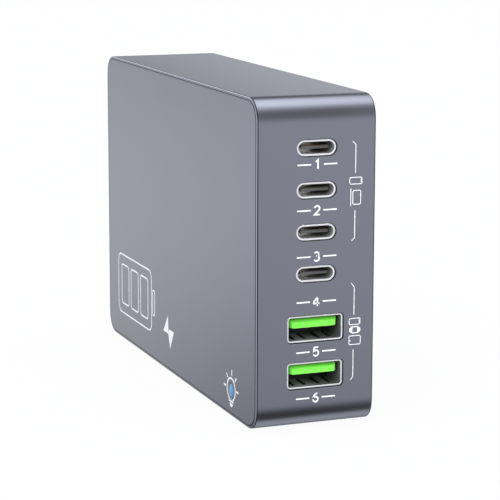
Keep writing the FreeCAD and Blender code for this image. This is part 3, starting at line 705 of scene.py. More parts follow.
def stack(
    loops: np.ndarray, finish: Union[int, Sequence[int], np.ndarray] = 0, closed: bool = False
) -> Surface:
    """Faces between loops of equal count that follow each other.

    The grid's first parameter is the loop and its second the place round the loop, which closes on
    itself.

    Args:
        loops: Array of M loops with N points of three coordinates.
        finish: Finish of all faces, or one for each band between two loops.
        closed: Whether the last loop joins the first.

    Returns:
        The surface.
    """
    count, around = loops.shape[:2]
    number = np.arange(count * around).reshape(count, around)
    if closed:
        number = np.concatenate([number, number[:1]])
    ahead = np.roll(number, -1, axis=1)
    faces = np.stack([number[:-1], ahead[:-1], ahead[1:], number[1:]], axis=-1)
    bands = np.broadcast_to(np.asarray(finish, dtype=int), (faces.shape[0],))
    return Surface.of(loops, faces, np.repeat(bands, around))


def cap(loop: np.ndarray, finish: int = 0) -> Surface:
    """Fan of faces from the mean of a loop's points to its sides.

    Args:
        loop: Points of the loop.
        finish: Finish of the faces.

    Returns:
        The surface, with the middle as its last point.
    """
    around = len(loop)
    number = np.arange(around)
    middle = np.full(around, around)
    faces = np.column_stack([number, np.roll(number, -1), middle, middle])
    return Surface.of(np.vstack([loop, loop.mean(axis=0)]), faces, finish)


def capped(loops: Sequence[np.ndarray]) -> list[Surface]:
    """A stack of loops and the caps of its first and last loop."""
    return [stack(np.stack(loops)), cap(loops[0]), cap(loops[-1])]


def boxes(low: np.ndarray, high: np.ndarray) -> Surface:
    """Closed boxes between arrays of low and high corners.

    Corner k of a box takes the high value on an axis where that bit of k is set.

    Args:
        low: Array of K low corners.
        high: Array of K high corners.

    Returns:
        The surface of all the boxes.
    """
    low = np.atleast_2d(low).astype(float)
    high = np.atleast_2d(high).astype(float)
    bits = (np.arange(8)[:, None] >> np.arange(3)) & 1
    points = np.where(bits[None] == 1, high[:, None], low[:, None])
    quads = np.array([
        [0, 2, 3, 1], [4, 5, 7, 6], [0, 1, 5, 4], [2, 6, 7, 3], [0, 4, 6, 2], [1, 3, 7, 5]
    ])
    faces = quads[None] + len(bits) * np.arange(len(low))[:, None, None]
    return Surface.of(points, faces)


def on_wall(loop: np.ndarray, y: float, height_at: float) -> np.ndarray:
    """Loop of (x, z) points set in a plane of constant Y, its middle at a height."""
    return np.column_stack([loop[:, 0], np.full(len(loop), y), loop[:, 1] + height_at])


def on_side(loop: np.ndarray, x: float) -> np.ndarray:
    """Loop of (y, z) points set in a plane of constant X."""
    return np.column_stack([np.full(len(loop), x), loop])


def quarter(steps: int) -> tuple[np.ndarray, np.ndarray]:
    """Cosine and sine over a quarter turn in even steps."""
    turn = np.linspace(0.0, 0.5 * np.pi, steps + 1)
    return np.cos(turn), np.sin(turn)


# Sub-assemblies
class FrameFinish(IntEnum):
    """Number of each finish on the wrapped frame."""

    FACE = 0
    RIM = 1
    # Cut walls in painted shade
    SHADED_CUT = 2
    # A painted dark line of shade on the rim
    SHADE_LINE = 3


@dataclass(frozen=True)
class Cell:
    """One socket's share of the front wall: its ends along Z, its hole and the hole's height."""

    low: float
    high: float
    hole: Triple
    z: float


@dataclass
class Housing:
    """The wrapped frame and the two side panels.

    A socket's hole is given by its width, height and corner radius. The soft reach is how much
    further than the radius a body corner's curve reaches along each side.
    """

    width: float = WIDTH
    depth: float = DEPTH
    height: float = HEIGHT
    radius: float = 5.0
    soft_reach: float = 1.9
    even_turn: float = 0.12
    arc_steps: int = 24
    arc_fine: int = 40
    wall: float = 1.6
    lip: float = 0.6
    rim_round: float = 0.32
    rim_steps: int = 8
    # Steps of the rim's rounding that carry the painted dark line of shade
    rim_shade_line: tuple[int, int] = (0, 4)
    print_depth: float = 0.015
    panel: float = 1.5
    panel_gap: float = 0.12
    front_gap: float = 0.24
    panel_round: float = 0.03
    panel_band: float = 0.3
    panel_reach: Pair = (47.0, 29.5)
    panel_grid: float = 1.0
    skirt_height: float = 0.8
    skirt_inset: float = 1.7
    skirt_wall: float = 1.0
    edge_steps: int = 4
    oval_hole: Triple = (9.60, 3.82, 1.91)
    wide_hole: Triple = (13.60, 6.22, 0.95)
    mouth: float = 0.02
    mouth_band: float = 0.1
    hole_steps: int = 12
    inlet_pocket: float = 6.5
    inlet_cut: float = 4.95
    inlet_margin: float = 2.0
    inlet_steps: int = 24
    light_hole: float = 1.78
    light_bevel: float = 0.1

    def corner(self, inset: float) -> np.ndarray:
        """One corner of the side outline, drawn in by an inset, from its right end to its top end.

        The outline's direction turns through a right angle as a blend of an even turn and a smooth
        step, so the curvature starts and ends softly. The points are the running sum of the
        direction. The corner is scaled to pass through the middle of a circular corner of the
        body's radius, and the inset moves each point along its own normal.

        Args:
            inset: Distance by which the outline is drawn in.

        Returns:
            Array of points measured from the sharp corner of the outline.
        """
        fine = np.linspace(0.0, 1.0, self.arc_fine * self.arc_steps + 1)
        smooth = 3 * fine ** 2 - 2 * fine ** 3
        turn = 0.5 * np.pi * (self.even_turn * fine + (1 - self.even_turn) * smooth)
        middle = (turn[1:] + turn[:-1]) / 2
        run = np.column_stack([-np.sin(middle), np.cos(middle)]) / (len(fine) - 1)
        path = np.vstack([[0.0, 0.0], np.cumsum(run, axis=0)])
        path -= (0.0, path[-1, 1])
        apex = np.linalg.norm(path[len(path) // 2])
        path *= self.radius * (math.sqrt(2.0) - 1.0) / apex
        normal = np.column_stack([np.cos(turn), np.sin(turn)])
        return (path - inset * normal)[::self.arc_fine]

    def outline(self, inset: float, breaks: Breaks) -> np.ndarray:
        """Side outline of the body drawn in by an inset: four corners, mirrored from one.

        Args:
            inset: Distance by which the outline is drawn in.
            breaks: Places of extra points along each side, measured from its middle.

        Returns:
            Array of (y, z) points.
        """
        half = np.array([self.depth / 2, self.height / 2])
        sides = side_points(*(half - inset), breaks)
        corner = self.corner(inset) + half
        parts = []
        for signs, side in zip(CORNERS, sides):
            turned = corner * signs
            parts.extend([turned if signs[0] == signs[1] else turned[::-1], side])
        return np.concatenate(parts) + (0.0, half[1])

    def band(self, x: float, inset: float, breaks: Breaks) -> np.ndarray:
        """Outline at an inset, set in a plane of constant X."""
        return on_side(self.outline(inset, breaks), x)

    def front_cells(self) -> list[Cell]:
        """Split the front wall into one cell for each socket, halfway between their heights.

        Returns:
            The cells, from the top down.
        """
        heights = OVAL_HEIGHTS + WIDE_HEIGHTS
        holes = [self.oval_hole] * len(OVAL_HEIGHTS) + [self.wide_hole] * len(WIDE_HEIGHTS)
        end = self.radius + self.soft_reach
        edges = [self.height - end, *(np.add(heights[1:], heights[:-1]) / 2), end]
        rows = zip(edges[1:], edges[:-1], holes, heights)
        return [Cell(low, high, hole, z) for low, high, hole, z in rows]

    def inlet_span(self) -> Pair:
        """Low and high end of the inlet's cell in the back wall."""
        reach = INLET_PITCH / 2 + self.inlet_pocket + self.inlet_margin
        return INLET_HEIGHT - reach, INLET_HEIGHT + reach

    def wall_cell(
        self, low: float, high: float, loops: list[np.ndarray], way: int, dark: Sequence[int] = ()
    ) -> Surface:
        """Wall of one cell, from its outer rectangle through a hole to its inner rectangle.

        Args:
            low: Low end of the cell along Z.
            high: High end of the cell along Z.
            loops: Loops of the hole from the outer face to the inner face.
            way: Way the wall faces along Y.
            dark: Bands between loops that are a cut wall in painted shade.

        Returns:
            The surface.
        """
        steps = len(loops[0]) // len(CORNERS) - 1
        half = self.depth / 2
        outer, inner = (
            on_wall(rounded_loop(width, high - low, 0.0, steps), way * y, (low + high) / 2)
            for width, y in (
                (self.width - 2 * self.rim_round, half - self.print_depth),
                (self.width - 2 * self.panel, half - self.wall),
            )
        )
        finish = np.full(len(loops) + 1, FrameFinish.FACE, dtype=int)
        finish[list(dark)] = FrameFinish.SHADED_CUT
        return stack(np.stack([outer, *loops, inner]), finish)

    def socket_loops(self, cell: Cell) -> list[np.ndarray]:
        """Loops of a socket's cut-out: the face, a rounded mouth and the straight wall behind it.

        Args:
            cell: The socket's cell.

        Returns:
            The loops, from the outer face to the inner face.
        """
        width, height, radius = cell.hole
        face_y = self.print_depth - self.depth / 2
        cosine, sine = quarter(self.edge_steps)
        growth = np.concatenate([[self.mouth + self.mouth_band], self.mouth * (1 - sine), [0.0]])
        places = np.concatenate([[0.0], self.mouth * (1 - cosine), [self.wall - self.print_depth]])
        loops = []
        for more, y in zip(growth, places):
            flat = rounded_loop(width + 2 * more, height + 2 * more, radius + more, self.hole_steps)
            loops.append(on_wall(flat, face_y + y, cell.z))
        return loops

    def inlet_loops(self) -> list[np.ndarray]:
        """Loops of the inlet's pocket in the back: its edge, floor and the cut through the wall.

        Returns:
            The loops, from the outer face to the inner face.
        """
        half = self.depth / 2
        rows = (
            (self.inlet_pocket, half - self.print_depth),
            (self.inlet_pocket, half - INLET_FLANGE),
            (self.inlet_cut, half - INLET_FLANGE),
            (self.inlet_cut, half - self.wall),
        )
        return [
            on_wall(rounded_loop(2 * r, INLET_PITCH + 2 * r, r, self.inlet_steps), y, INLET_HEIGHT)
            for r, y in rows
        ]

    def section(self) -> tuple[list[Pair], list[int]]:
        """Section of the frame: the outer face, then on each side a rim, the lip and the rebate.

        The rim follows a quarter circle, and its first steps are a painted dark line of shade
        beside the face.

        Returns:
            Points (x, inset) round the section, and the finish of the side after each point.
        """
        half = self.width / 2
        seat = half - self.panel
        cosine, sine = quarter(self.rim_steps)
        edge_x = half - self.rim_round * (1 - sine)
        edge_in = self.print_depth + (self.rim_round - self.print_depth) * (1 - cosine)
        right = [*zip(edge_x, edge_in), (half, self.lip), (seat, self.lip), (seat, self.wall)]
        left = [(-x, inset) for x, inset in right[::-1]]
        # The rim's first steps: a painted dark line of shade
        start, end = self.rim_shade_line
        # The rebate's walls take the cut wall's painted shade
        face, trim, cut = FrameFinish.FACE, FrameFinish.RIM, FrameFinish.SHADED_CUT
        line = [FrameFinish.SHADE_LINE] * (end - start)
        rim = [face] * start + line + [trim] * (self.rim_steps - end)
        finish = [face, *rim, trim, cut, face, face, face, cut, trim, *rim[::-1]]
        return [left[-1], *right, *left[:-1]], finish

    def frame_surface(self) -> Surface:
        """Wrapped frame: its section carried round the side outline, with cells front and back.

        Where a cell stands, its wall takes the place of the outer and inner faces of the sweep.

        Returns:
            The surface, with finishes as FrameFinish numbers them.
        """
        section, finish = self.section()
        cells = self.front_cells()
        inlet = self.inlet_span()
        middle = self.height / 2
        end = self.radius + self.soft_reach
        level = [end - self.depth / 2, self.depth / 2 - end]
        front = sorted({edge - middle for cell in cells for edge in (cell.low, cell.high)})
        back = [inlet[0] - middle, inlet[1] - middle, middle - end]
        loops = [self.band(x, inset, (level, front, level, back)) for x, inset in section]
        sweep = stack(np.stack(loops), finish, closed=True)
        corners = sweep.points[sweep.faces]
        _, y, z = corners.mean(axis=1).T
        inside = self.depth / 2 - self.wall - NEAR
        at_front = (y < -inside) & (z > cells[-1].low) & (z < cells[0].high)
        at_back = (y > inside) & (z > inlet[0]) & (z < inlet[1])
        wide = np.ptp(corners[:, :, 0], axis=1) > self.width / 2
        parts = [sweep.where(~(wide & (at_front | at_back)))]
        for cell in cells:
            hole = self.socket_loops(cell)
            # The hole's straight wall takes the cut wall's painted shade
            parts.append(self.wall_cell(cell.low, cell.high, hole, -1, [len(hole) - 1]))
        parts.append(self.wall_cell(*inlet, self.inlet_loops(), 1))
        return Surface.joined(parts)

    def panel_surface(self, side: int, hole: bool) -> Surface:
        """Side panel: loops from the window over the face, a rounded edge, the seat and the skirt.

        The loops are the side outline at growing and shrinking insets, shortened evenly along Y so
        the seam opens a little at the front. The window's loop is a circle whose points look at the
        outline's points from the middle of the window.

        Args:
            side: Way the panel faces along X.
            hole: Whether it has the window's hole.

        Returns:
            The surface, its edge with the second finish, painted shade of the seam.
        """
        grid = self.panel_grid
        along, up = (np.arange(-end, end + grid / 2, grid) for end in self.panel_reach)
        breaks = (along, up, along, up)
        face = self.width / 2 - self.print_depth
        seat = self.width / 2 - self.panel
        skirt = seat - self.skirt_height
        edge = self.lip + self.panel_gap
        inner = self.skirt_inset + self.skirt_wall
        cosine, sine = quarter(self.edge_steps)
        edge_x = face - self.panel_round * (1 - cosine)
        edge_in = edge + self.panel_round * (1 - sine)
        rows = [(face, edge + self.panel_round + self.panel_band), *zip(edge_x, edge_in)]
        rows += [(seat, edge), (seat, self.skirt_inset), (skirt, self.skirt_inset)]
        rows += [(skirt, inner), (seat, inner)]
        loops = np.stack([self.band(side * x, inset, breaks) for x, inset in rows])
        loops[..., 1] += self.front_gap * (0.5 - loops[..., 1] / self.depth)
        finish = np.zeros(len(loops), dtype=int)
        finish[1:len(cosine) + 1] = 1
        if not hole:
            return Surface.joined([stack(loops, finish[:-1]), cap(loops[0]), cap(loops[-1])])
        centre = np.array(LIGHT_PLACE)
        rays = self.outline(edge, breaks) - centre
        rays /= np.linalg.norm(rays, axis=1, keepdims=True)
        bevel = self.light_bevel
        rings = [
            on_side(centre + rays * (self.light_hole + growth), side * x)
            for x, growth in ((seat, 0.0), (face - bevel, 0.0), (face, bevel), (face, 2 * bevel))
        ]
        finish = np.concatenate([np.zeros(len(rings), dtype=int), finish])
        return stack(np.concatenate([np.stack(rings), loops]), finish, closed=True)

    def build(self, finishes: Finishes) -> None:
        """Make the frame and the panels in place of their solids.

        Args:
            finishes: The charger's finishes.
        """
        metal = finishes.several("frame_metal", "cut_rim", "shaded_cut_wall", "rim_shade_line")
        frame = self.frame_surface().piece("wrapped_frame", "frame_metal", metal)
        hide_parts("wrap_frame")
        # The panels' edges take the cut wall's painted shade
        metal = finishes.several("panel_metal", "shaded_cut_wall")
        for name, side, hole in (("left", -1, True), ("right", 1, False)):
            panel = self.panel_surface(side, hole).piece(f"{name}_panel", "panel_metal", metal)
            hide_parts(f"{name}_side_panel")


@dataclass
class Sockets:
    """What both kinds of socket share: a shell with a rolled lip and legs, a plug and a tongue.

    The starts are distances behind the shell's front: of the straight outer wall, of the flare and
    of the straight inner wall. The inside bands are those at the inner end of the section that have
    the finish of the inside.
    """

    kind: str
    heights: tuple[float, ...]
    width: float
    height: float
    flare: float
    inside_bands: int
    tongue_width: float
    tongue_height: float
    tongue_round: float
    tongue_steps: int
    shell_finishes: tuple[str, ...]
    tongue_finishes: tuple[str, ...]
    wall: float = 0.4
    front: float = SOCKET_FRONT
    back: float = -43.6
    lip: float = 0.12
    lip_play: float = 0.02
    lip_steps: int = 4
    outer_start: float = 0.9
    flare_start: float = 0.35
    inner_start: float = 0.5
    leg_back: float = -41.8
    leg_root: float = 0.4
    leg_half: float = 0.5
    plug_clearance: float = 0.04
    plug_front: float = -47.1
    tongue_front: float = -53.2

    def lip_rows(self) -> list[Pair]:
        """Section of the lip from the outer to the inner wall: a flare and two quarter circles.

        Returns:
            Inset and place along Y of each loop.
        """
        cosine, sine = quarter(self.lip_steps)
        rise = self.front + self.lip * (1 - cosine)
        outer = zip(self.lip * (1 - sine[::-1]) - self.flare, rise[::-1])
        inner = zip(self.wall - self.lip_play - self.lip * (1 - sine), rise)
        start = [(0.0, self.front + self.outer_start), (-self.flare, self.front + self.flare_start)]
        return [*start, *outer, *inner, (self.wall, self.front + self.inner_start)]

    def legs(self, z: float) -> Surface:
        """Two flat legs behind the shell, one in line with each side wall.

        Args:
            z: Height of the socket's middle.

        Returns:
            The surface of both legs.
        """
        start = self.back - self.leg_root
        sides = (-self.width / 2, self.width / 2 - self.wall)
        low = np.array([[x, start, z - self.leg_half] for x in sides])
        return boxes(low, low + (self.wall, self.leg_back - start, 2 * self.leg_half))

    def plug_size(self) -> Pair:
        """Width and height of the plug that closes the shell's back."""
        inset = self.wall + self.plug_clearance
        return self.width - 2 * inset, self.height - 2 * inset

    def moulding(self, plug_radius: float, tongue: list[tuple[float, ...]], z: float) -> Surface:
        """Plug and tongue as one stack of loops, from the plug's back to the tongue's front.

        Args:
            plug_radius: Corner radius of the plug.
            tongue: Width, height, corner radius, place along Y and height of each tongue loop.
            z: Height of the socket's middle.

        Returns:
            The surface, the plug with the second finish.
        """
        plug = [(*self.plug_size(), plug_radius, y, z) for y in (self.back, self.plug_front)]
        loops = [
            on_wall(rounded_loop(width, height, radius, self.tongue_steps), y, level)
            for width, height, radius, y, level in plug + tongue
        ]
        finish = [1, 1] + [0] * (len(loops) - 3)
        return Surface.joined([stack(np.stack(loops), finish), cap(loops[0], 1), cap(loops[-1])])

    def shell(self, z: float) -> Surface:
        """The shell of one socket, which each kind makes."""
        raise NotImplementedError

    def tongue(self, z: float) -> Surface:
        """The plug and tongue of one socket, which each kind makes."""
        raise NotImplementedError

    def build(self, finishes: Finishes) -> None:
        """Make the shells and tongues in place of their solids.

        Args:
            finishes: The charger's finishes.
        """
        metal = finishes.several(*self.shell_finishes)
        plastic = finishes.several(*self.tongue_finishes)
        for number, z in enumerate(self.heights, 1):
            name = f"{self.kind}_socket_{number}"
            shell = self.shell(z).piece(name, self.shell_finishes[0], metal)
            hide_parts(f"{self.kind}_port_{number}_shell")
            name = f"{self.kind}_tongue_{number}"
            tongue = self.tongue(z).piece(name, self.tongue_finishes[0], plastic)
            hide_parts(f"{self.kind}_port_{number}_tongue")


@dataclass
class OvalSockets(Sockets):
    """The four oval sockets: drawn shells, and plastic plugs with a thin tongue."""

    kind: str = "oval"
    heights: tuple[float, ...] = OVAL_HEIGHTS
    width: float = 9.14
    height: float = 3.36
    flare: float = 0.12
    inside_bands: int = 4
    tongue_width: float = 6.69
    tongue_height: float = 0.7
    tongue_round: float = 0.15
    tongue_steps: int = 6
    shell_finishes: tuple[str, ...] = ("socket_shell", "oval_inside")
    tongue_finishes: tuple[str, ...] = ("socket_plastic", "oval_plug")
    arc_steps: int = 14
    nose_steps: int = 3
    corner_share: float = 0.3

    def shell(self, z: float) -> Surface:
        """One shell: a section with a flared, rounded lip carried round the oval, and two legs.

        Args:
            z: Height of the socket's middle.

        Returns:
            The surface, its inside with the second finish, which starts within the lip's rounding.
        """
        rows = [(0.0, self.back), *self.lip_rows(), (self.wall, self.back)]
        loops = []
        for inset, y in rows:
            height = self.height - 2 * inset
            flat = rounded_loop(self.width - 2 * inset, height, height / 2, self.arc_steps)
            loops.append(on_wall(flat, y, z))
        finish = [0] * (len(rows) - self.inside_bands - 1) + [1] * self.inside_bands + [0]
        return Surface.joined([stack(np.stack(loops), finish, closed=True), self.legs(z)])

    def tongue(self, z: float) -> Surface:
        """Plug and tongue, the tongue's front drawn in on all sides along a quarter circle.

        Args:
            z: Height of the socket's middle.

        Returns:
            The surface, the plug with the second finish.
        """
        cosine, sine = quarter(self.nose_steps)
        draw_in = np.concatenate([[0.0], self.tongue_round * (1 - cosine)])
        nose = self.tongue_front + self.tongue_round * (1 - sine)
        places = np.concatenate([[self.plug_front], nose])
        widths = self.tongue_width - 2 * draw_in
        heights = self.tongue_height - 2 * draw_in
        rows = [(a, b, self.corner_share * b, y, z) for a, b, y in zip(widths, heights, places)]
        return self.moulding(self.plug_size()[1] / 2, rows, z)


@dataclass
class WideSockets(Sockets):
    """The two wide sockets: folded shells with spring fingers, and plugs with a thick tongue."""

    kind: str = "wide"
    heights: tuple[float, ...] = WIDE_HEIGHTS
    width: float = 13.3
    height: float = 5.92
    flare: float = 0.02
    inside_bands: int = 2
    tongue_width: float = 11.4
    tongue_height: float = 1.84
    tongue_round: float = 0.55
    tongue_steps: int = 5
    # The shell's outside, its inside in painted shade, and its slot walls in painted shade
    shell_finishes: tuple[str, ...] = ("socket_shell", "shaded_wide_inside", "shaded_cut_wall")
    # The green tongue, and its plug in near-black painted shade
    tongue_finishes: tuple[str, ...] = ("green_plastic", "shaded_socket_back")
    radius: float = 0.8
    arc_steps: int = 5
    finger_place: float = 3.0
    finger_half: float = 0.9
    finger_bend: float = 0.24
    finger_points: int = 7
    slot: float = 0.85
    slot_front: float = -52.5
    slot_back: float = -46.9
    plug_radius: float = 0.4
    tongue_rise: float = 0.14
    tongue_corner: float = 0.25
    nose_points: int = 5
    nose_length: float = 1.5
    nose_curl: float = 0.35

    def loop(self, inset: float, y: float, z: float) -> np.ndarray:
        """Section of the shell, with points at the edges of the slots.

        Args:
            inset: Distance by which the section is drawn in.
            y: Place along the tube.
            z: Height of the socket's middle.

        Returns:
            Array of points.
        """
        half = self.finger_half
        reaches = (-half - self.slot, -half, half, half + self.slot)
        edges = [side * (self.finger_place + reach) for side in (-1, 1) for reach in reaches]
        size = (self.width - 2 * inset, self.height - 2 * inset)
        flat = rounded_loop(*size, self.radius - inset, self.arc_steps, (edges, (), edges, ()))
        return on_wall(flat, y, z)

    def walls(self, z: float) -> Surface:
        """Outer and inner walls of the tube with the slots left out and closed by their own walls.

        Both walls are grids of the place along the tube and round its section. A finger's points
        move inwards by the square of their share of its length.

        Args:
            z: Height of the socket's middle.

        Returns:
            The surface, open at both ends of the tube, its slots with the third finish, in painted
            shade.
        """
        free = self.slot_back - self.slot
        fingers = np.linspace(self.slot_front, free, self.finger_points)
        ends = (self.front + self.outer_start, self.slot_back, self.back)
        along = np.concatenate([ends[:1], fingers, ends[1:]])
        grids = [np.stack([self.loop(inset, y, z) for y in along]) for inset in (0.0, self.wall)]
        middle = (grids[0][:-1] + grids[0][1:]) / 2
        middle = (middle + np.roll(middle, -1, axis=1)) / 2
        flat = np.abs(middle[..., 2] - z) > self.height / 2 - NEAR
        away = np.abs(np.abs(middle[..., 0]) - self.finger_place)
        inside = (middle[..., 1] > self.slot_front) & (middle[..., 1] < self.slot_back)
        drop = flat & inside & (away < self.finger_half + self.slot)
        drop &= (away > self.finger_half) | (middle[..., 1] > free)
        for grid in grids:
            share = np.clip((grid[..., 1] - self.slot_front) / (free - self.slot_front), 0.0, 1.0)
            finger = np.abs(np.abs(grid[..., 0]) - self.finger_place) < self.finger_half + NEAR
            finger &= grid[..., 1] < free + NEAR
            grid[..., 2] -= np.sign(grid[..., 2] - z) * self.finger_bend * share ** 2 * finger
        keep = ~drop.reshape(-1)
        parts = [stack(grid, number).where(keep) for number, grid in enumerate(grids)]
        outer, inner = grids
        row, column = np.nonzero(drop != np.roll(drop, 1, axis=1))
        near, far = (row, column), (row + 1, column)
        sides = np.stack([outer[near], outer[far], inner[far], inner[near]], axis=1)
        row, column = np.nonzero(drop[1:] != drop[:-1])
        near, far = (row + 1, column), (row + 1, (column + 1) % drop.shape[1])
        ends = np.stack([outer[near], outer[far], inner[far], inner[near]], axis=1)
        edges = np.concatenate([sides, ends])
        parts.append(Surface.of(edges, np.arange(4 * len(edges)), 2))
        return Surface.joined(parts)

    def shell(self, z: float) -> Surface:
        """One shell: the slotted walls, a flared and rounded lip, the back edge and two legs.

        Args:
            z: Height of the socket's middle.

        Returns:
            The surface, its inside with the second finish.
        """
        rows = [*self.lip_rows(), (self.wall, self.front + self.outer_start)]
        finish = [0] * (len(rows) - self.inside_bands - 1) + [1] * self.inside_bands
        lip = stack(np.stack([self.loop(inset, y, z) for inset, y in rows]), finish)
        end = stack(np.stack([self.loop(inset, self.back, z) for inset in (0.0, self.wall)]))
        return Surface.joined([self.walls(z), lip, end, self.legs(z)])

    def tongue(self, z: float) -> Surface:
        """Plug and tongue, the tongue's front drawn in at the top and the ends.

        The draw-in is a mix of the share of the nose's length and its cube, and half of it lowers
        the loop, so the tongue's underside stays flat.

        Args:
            z: Height of the socket's middle.

        Returns:
            The surface, the plug with the second finish.
        """
        turn = np.linspace(0.0, 1.0, self.nose_points)
        curl = self.nose_curl * turn ** 3 + (1 - self.nose_curl) * turn
        draw_in = np.concatenate([[0.0], self.tongue_round * curl])
        nose = self.tongue_front + self.nose_length * self.tongue_round * (1 - turn)
        places = np.concatenate([[self.plug_front], nose])
        widths = self.tongue_width - 2 * draw_in
        heights = self.tongue_height - draw_in
        levels = z + self.tongue_rise + heights / 2
        sizes = zip(widths, heights, places, levels)
        rows = [(a, b, self.tongue_corner, y, level) for a, b, y, level in sizes]
        return self.moulding(self.plug_radius, rows, z)


@dataclass
class Inlet:
    """The mains inlet in the back: a moulded body with two snaps, and two pins.

    The snap is given by its rise, its length and half its width.
    """

    lobe: float = 3.8
    waist: float = 2.7
    body_radius: float = 4.8
    flange_radius: float = 6.4
    face: float = DEPTH / 2
    floor: float = 42.0
    back: float = 39.5
    edge: float = 0.15
    mouth: float = 0.45
    snap: Triple = (0.7, 3.0, 3.0)
    snap_catch: float = 52.85
    pin_radius: float = 1.18
    pin_tip: float = 51.1
    pin_round: float = 0.6
    pin_overlap: float = 0.2
    root_half: float = 1.3
    root_back: float = 38.3
    lobe_points: int = 40
    edge_steps: int = 4
    tip_steps: int = 5
    pin_steps: int = 8

    def lobes(self, radius: float, dip: float, y: float) -> np.ndarray:
        """Loop of two arcs about the pins, the lower one the upper one turned by half a turn.

        Args:
            radius: Radius of the arcs.
            dip: Angle in radians by which each arc goes past its half circle at both ends.
            y: Place along Y.

        Returns:
            Array of points.
        """
        turn = np.linspace(-dip, np.pi + dip, self.lobe_points)
        upper = np.column_stack([radius * np.cos(turn), INLET_PITCH / 2 + radius * np.sin(turn)])
        return on_wall(np.concatenate([upper, -upper]), y, INLET_HEIGHT)

    def oblong(self, radius: float, y: float) -> np.ndarray:
        """Loop of two half circles about the pins, joined by straight sides."""
        return self.lobes(radius, 0.0, y)

    def eight(self, growth: float, y: float) -> np.ndarray:
        """Loop of two lobes joined by a waist, arcs that end where they meet the waist."""
        radius = self.lobe + growth
        return self.lobes(radius, math.acos((self.waist + growth) / radius), y)

    def body(self) -> Surface:
        """Body as one stack of loops: the back, the flange, a rounded mouth and the recess.

        Two wedges on its sides are the snaps that hold it behind the wall.

        Returns:
            The surface.
        """
        cosine, sine = quarter(self.edge_steps)
        seat = self.face - INLET_FLANGE
        loops = [
            self.oblong(self.body_radius, self.back),
            self.oblong(self.body_radius, seat),
            self.oblong(self.flange_radius, seat),
        ]
        for c, s in zip(1 - cosine, 1 - sine):
            loops.append(self.oblong(self.flange_radius - self.edge * c, self.face - self.edge * s))
        for c, s in zip(1 - cosine, 1 - sine):
            loops.append(self.eight(self.mouth * s, self.face - self.mouth * c))
        loops.append(self.eight(0.0, self.floor))
        parts = capped(loops)
        rise, length, half = self.snap
        catch = self.snap_catch
        levels = (INLET_HEIGHT - half, INLET_HEIGHT + half)
        for root, tip in ((side * self.body_radius, side * rise) for side in (-1, 1)):
            ramp = np.array([[root, catch], [root + tip, catch], [root, catch - length]])
            parts += capped([np.column_stack([ramp, np.full(len(ramp), z)]) for z in levels])
        return Surface.joined(parts)

    def pins(self) -> Surface:
        """Two round pins whose ends follow a quarter circle, each on a square root.

        Returns:
            The surface of both pins.
        """
        cosine, sine = quarter(self.tip_steps)
        tip_radii = self.pin_radius - self.pin_round * (1 - cosine)
        radii = np.concatenate([[self.pin_radius], tip_radii])
        tip_places = self.pin_tip - self.pin_round * (1 - sine)
        along = np.concatenate([[self.floor - self.pin_overlap], tip_places])
        half = self.root_half
        parts = []
        for z in (INLET_HEIGHT - INLET_PITCH / 2, INLET_HEIGHT + INLET_PITCH / 2):
            loops = [
                on_wall(rounded_loop(2 * r, 2 * r, r, self.pin_steps), y, z)
                for r, y in zip(radii, along)
            ]
            low = np.array([-half, self.root_back, z - half])
            root = boxes(low, low + (2 * half, self.floor - self.root_back, 2 * half))
            parts += [*capped(loops), root]
        return Surface.joined(parts)

    def build(self, finishes: Finishes) -> None:
        """Make the body and the pins in place of their solids.

        Args:
            finishes: The charger's finishes.
        """
        plastic, plating = finishes.several("inlet_plastic", "pin_plating")
        body = self.body().piece("inlet_moulding", "inlet_plastic", [plastic])
        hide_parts("inlet_body")
        pins = self.pins().piece("inlet_pin_pair", "pin_plating", [plating])
        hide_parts("inlet_pins")


@dataclass
class LightWindow:
    """The clear piece that brings the status light to the left panel.

    The dome's shares are those of the flat front's radius at which it has a loop.
    """

    radius: float = 1.7
    front: float = -13.95
    edge: float = 0.14
    dome: float = 0.035
    dome_shares: tuple[float, ...] = (0.75, 0.5, 0.25)
    seat: float = -12.5
    flange: float = 2.4
    flange_depth: float = 0.6
    stem: float = 1.1
    edge_steps: int = 4
    arc_steps: int = 12

    def surface(self, stem_end: float) -> Surface:
        """Lens with a rounded edge and a shallow dome, then a square flange and stem.

        The dome's height falls with the square of the distance from the middle.

        Args:
            stem_end: Where the stem ends, along X.

        Returns:
            The surface.
        """
        cosine, sine = quarter(self.edge_steps)
        shares = np.array(self.dome_shares)
        inner = (self.radius - self.edge) * shares
        radii = np.concatenate([[self.radius], self.radius - self.edge * (1 - cosine), inner])
        rise = self.front - self.dome * (1 - shares ** 2)
        places = np.concatenate([[self.seat], self.front + self.edge * (1 - sine), rise])
        y, z = LIGHT_PLACE
        loops = [
            on_side(rounded_loop(2 * radius, 2 * radius, radius, self.arc_steps) + (y, z), x)
            for radius, x in zip(radii, places)
        ]
        lens, back, tip = capped(loops)
        tip.points[-1, 0] = self.front - self.dome
        step = self.seat + self.flange_depth
        blocks = ((self.seat, step, self.flange), (step, stem_end, self.stem))
        low = np.array([[start, y - half, z - half] for start, _, half in blocks])
        high = np.array([[end, y + half, z + half] for _, end, half in blocks])
        return Surface.joined([lens, back, tip, boxes(low, high)])

    def build(self, finishes: Finishes) -> None:
        """Make the clear piece in place of its solid, as long as the solid is.

        Args:
            finishes: The charger's finishes.
        """
        stem_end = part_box("light_pipe")[1][0] / MM
        clear = finishes.several("light_window")
        lens = self.surface(stem_end).piece("light_lens", "light_window", clear)
        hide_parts("light_pipe")


class Face(Enum):
    """A face of the housing that carries prints."""

    FRONT = "the face with the sockets, drawn along X and Z"
    LEFT = "the panel with the lit window, drawn along Y and Z"


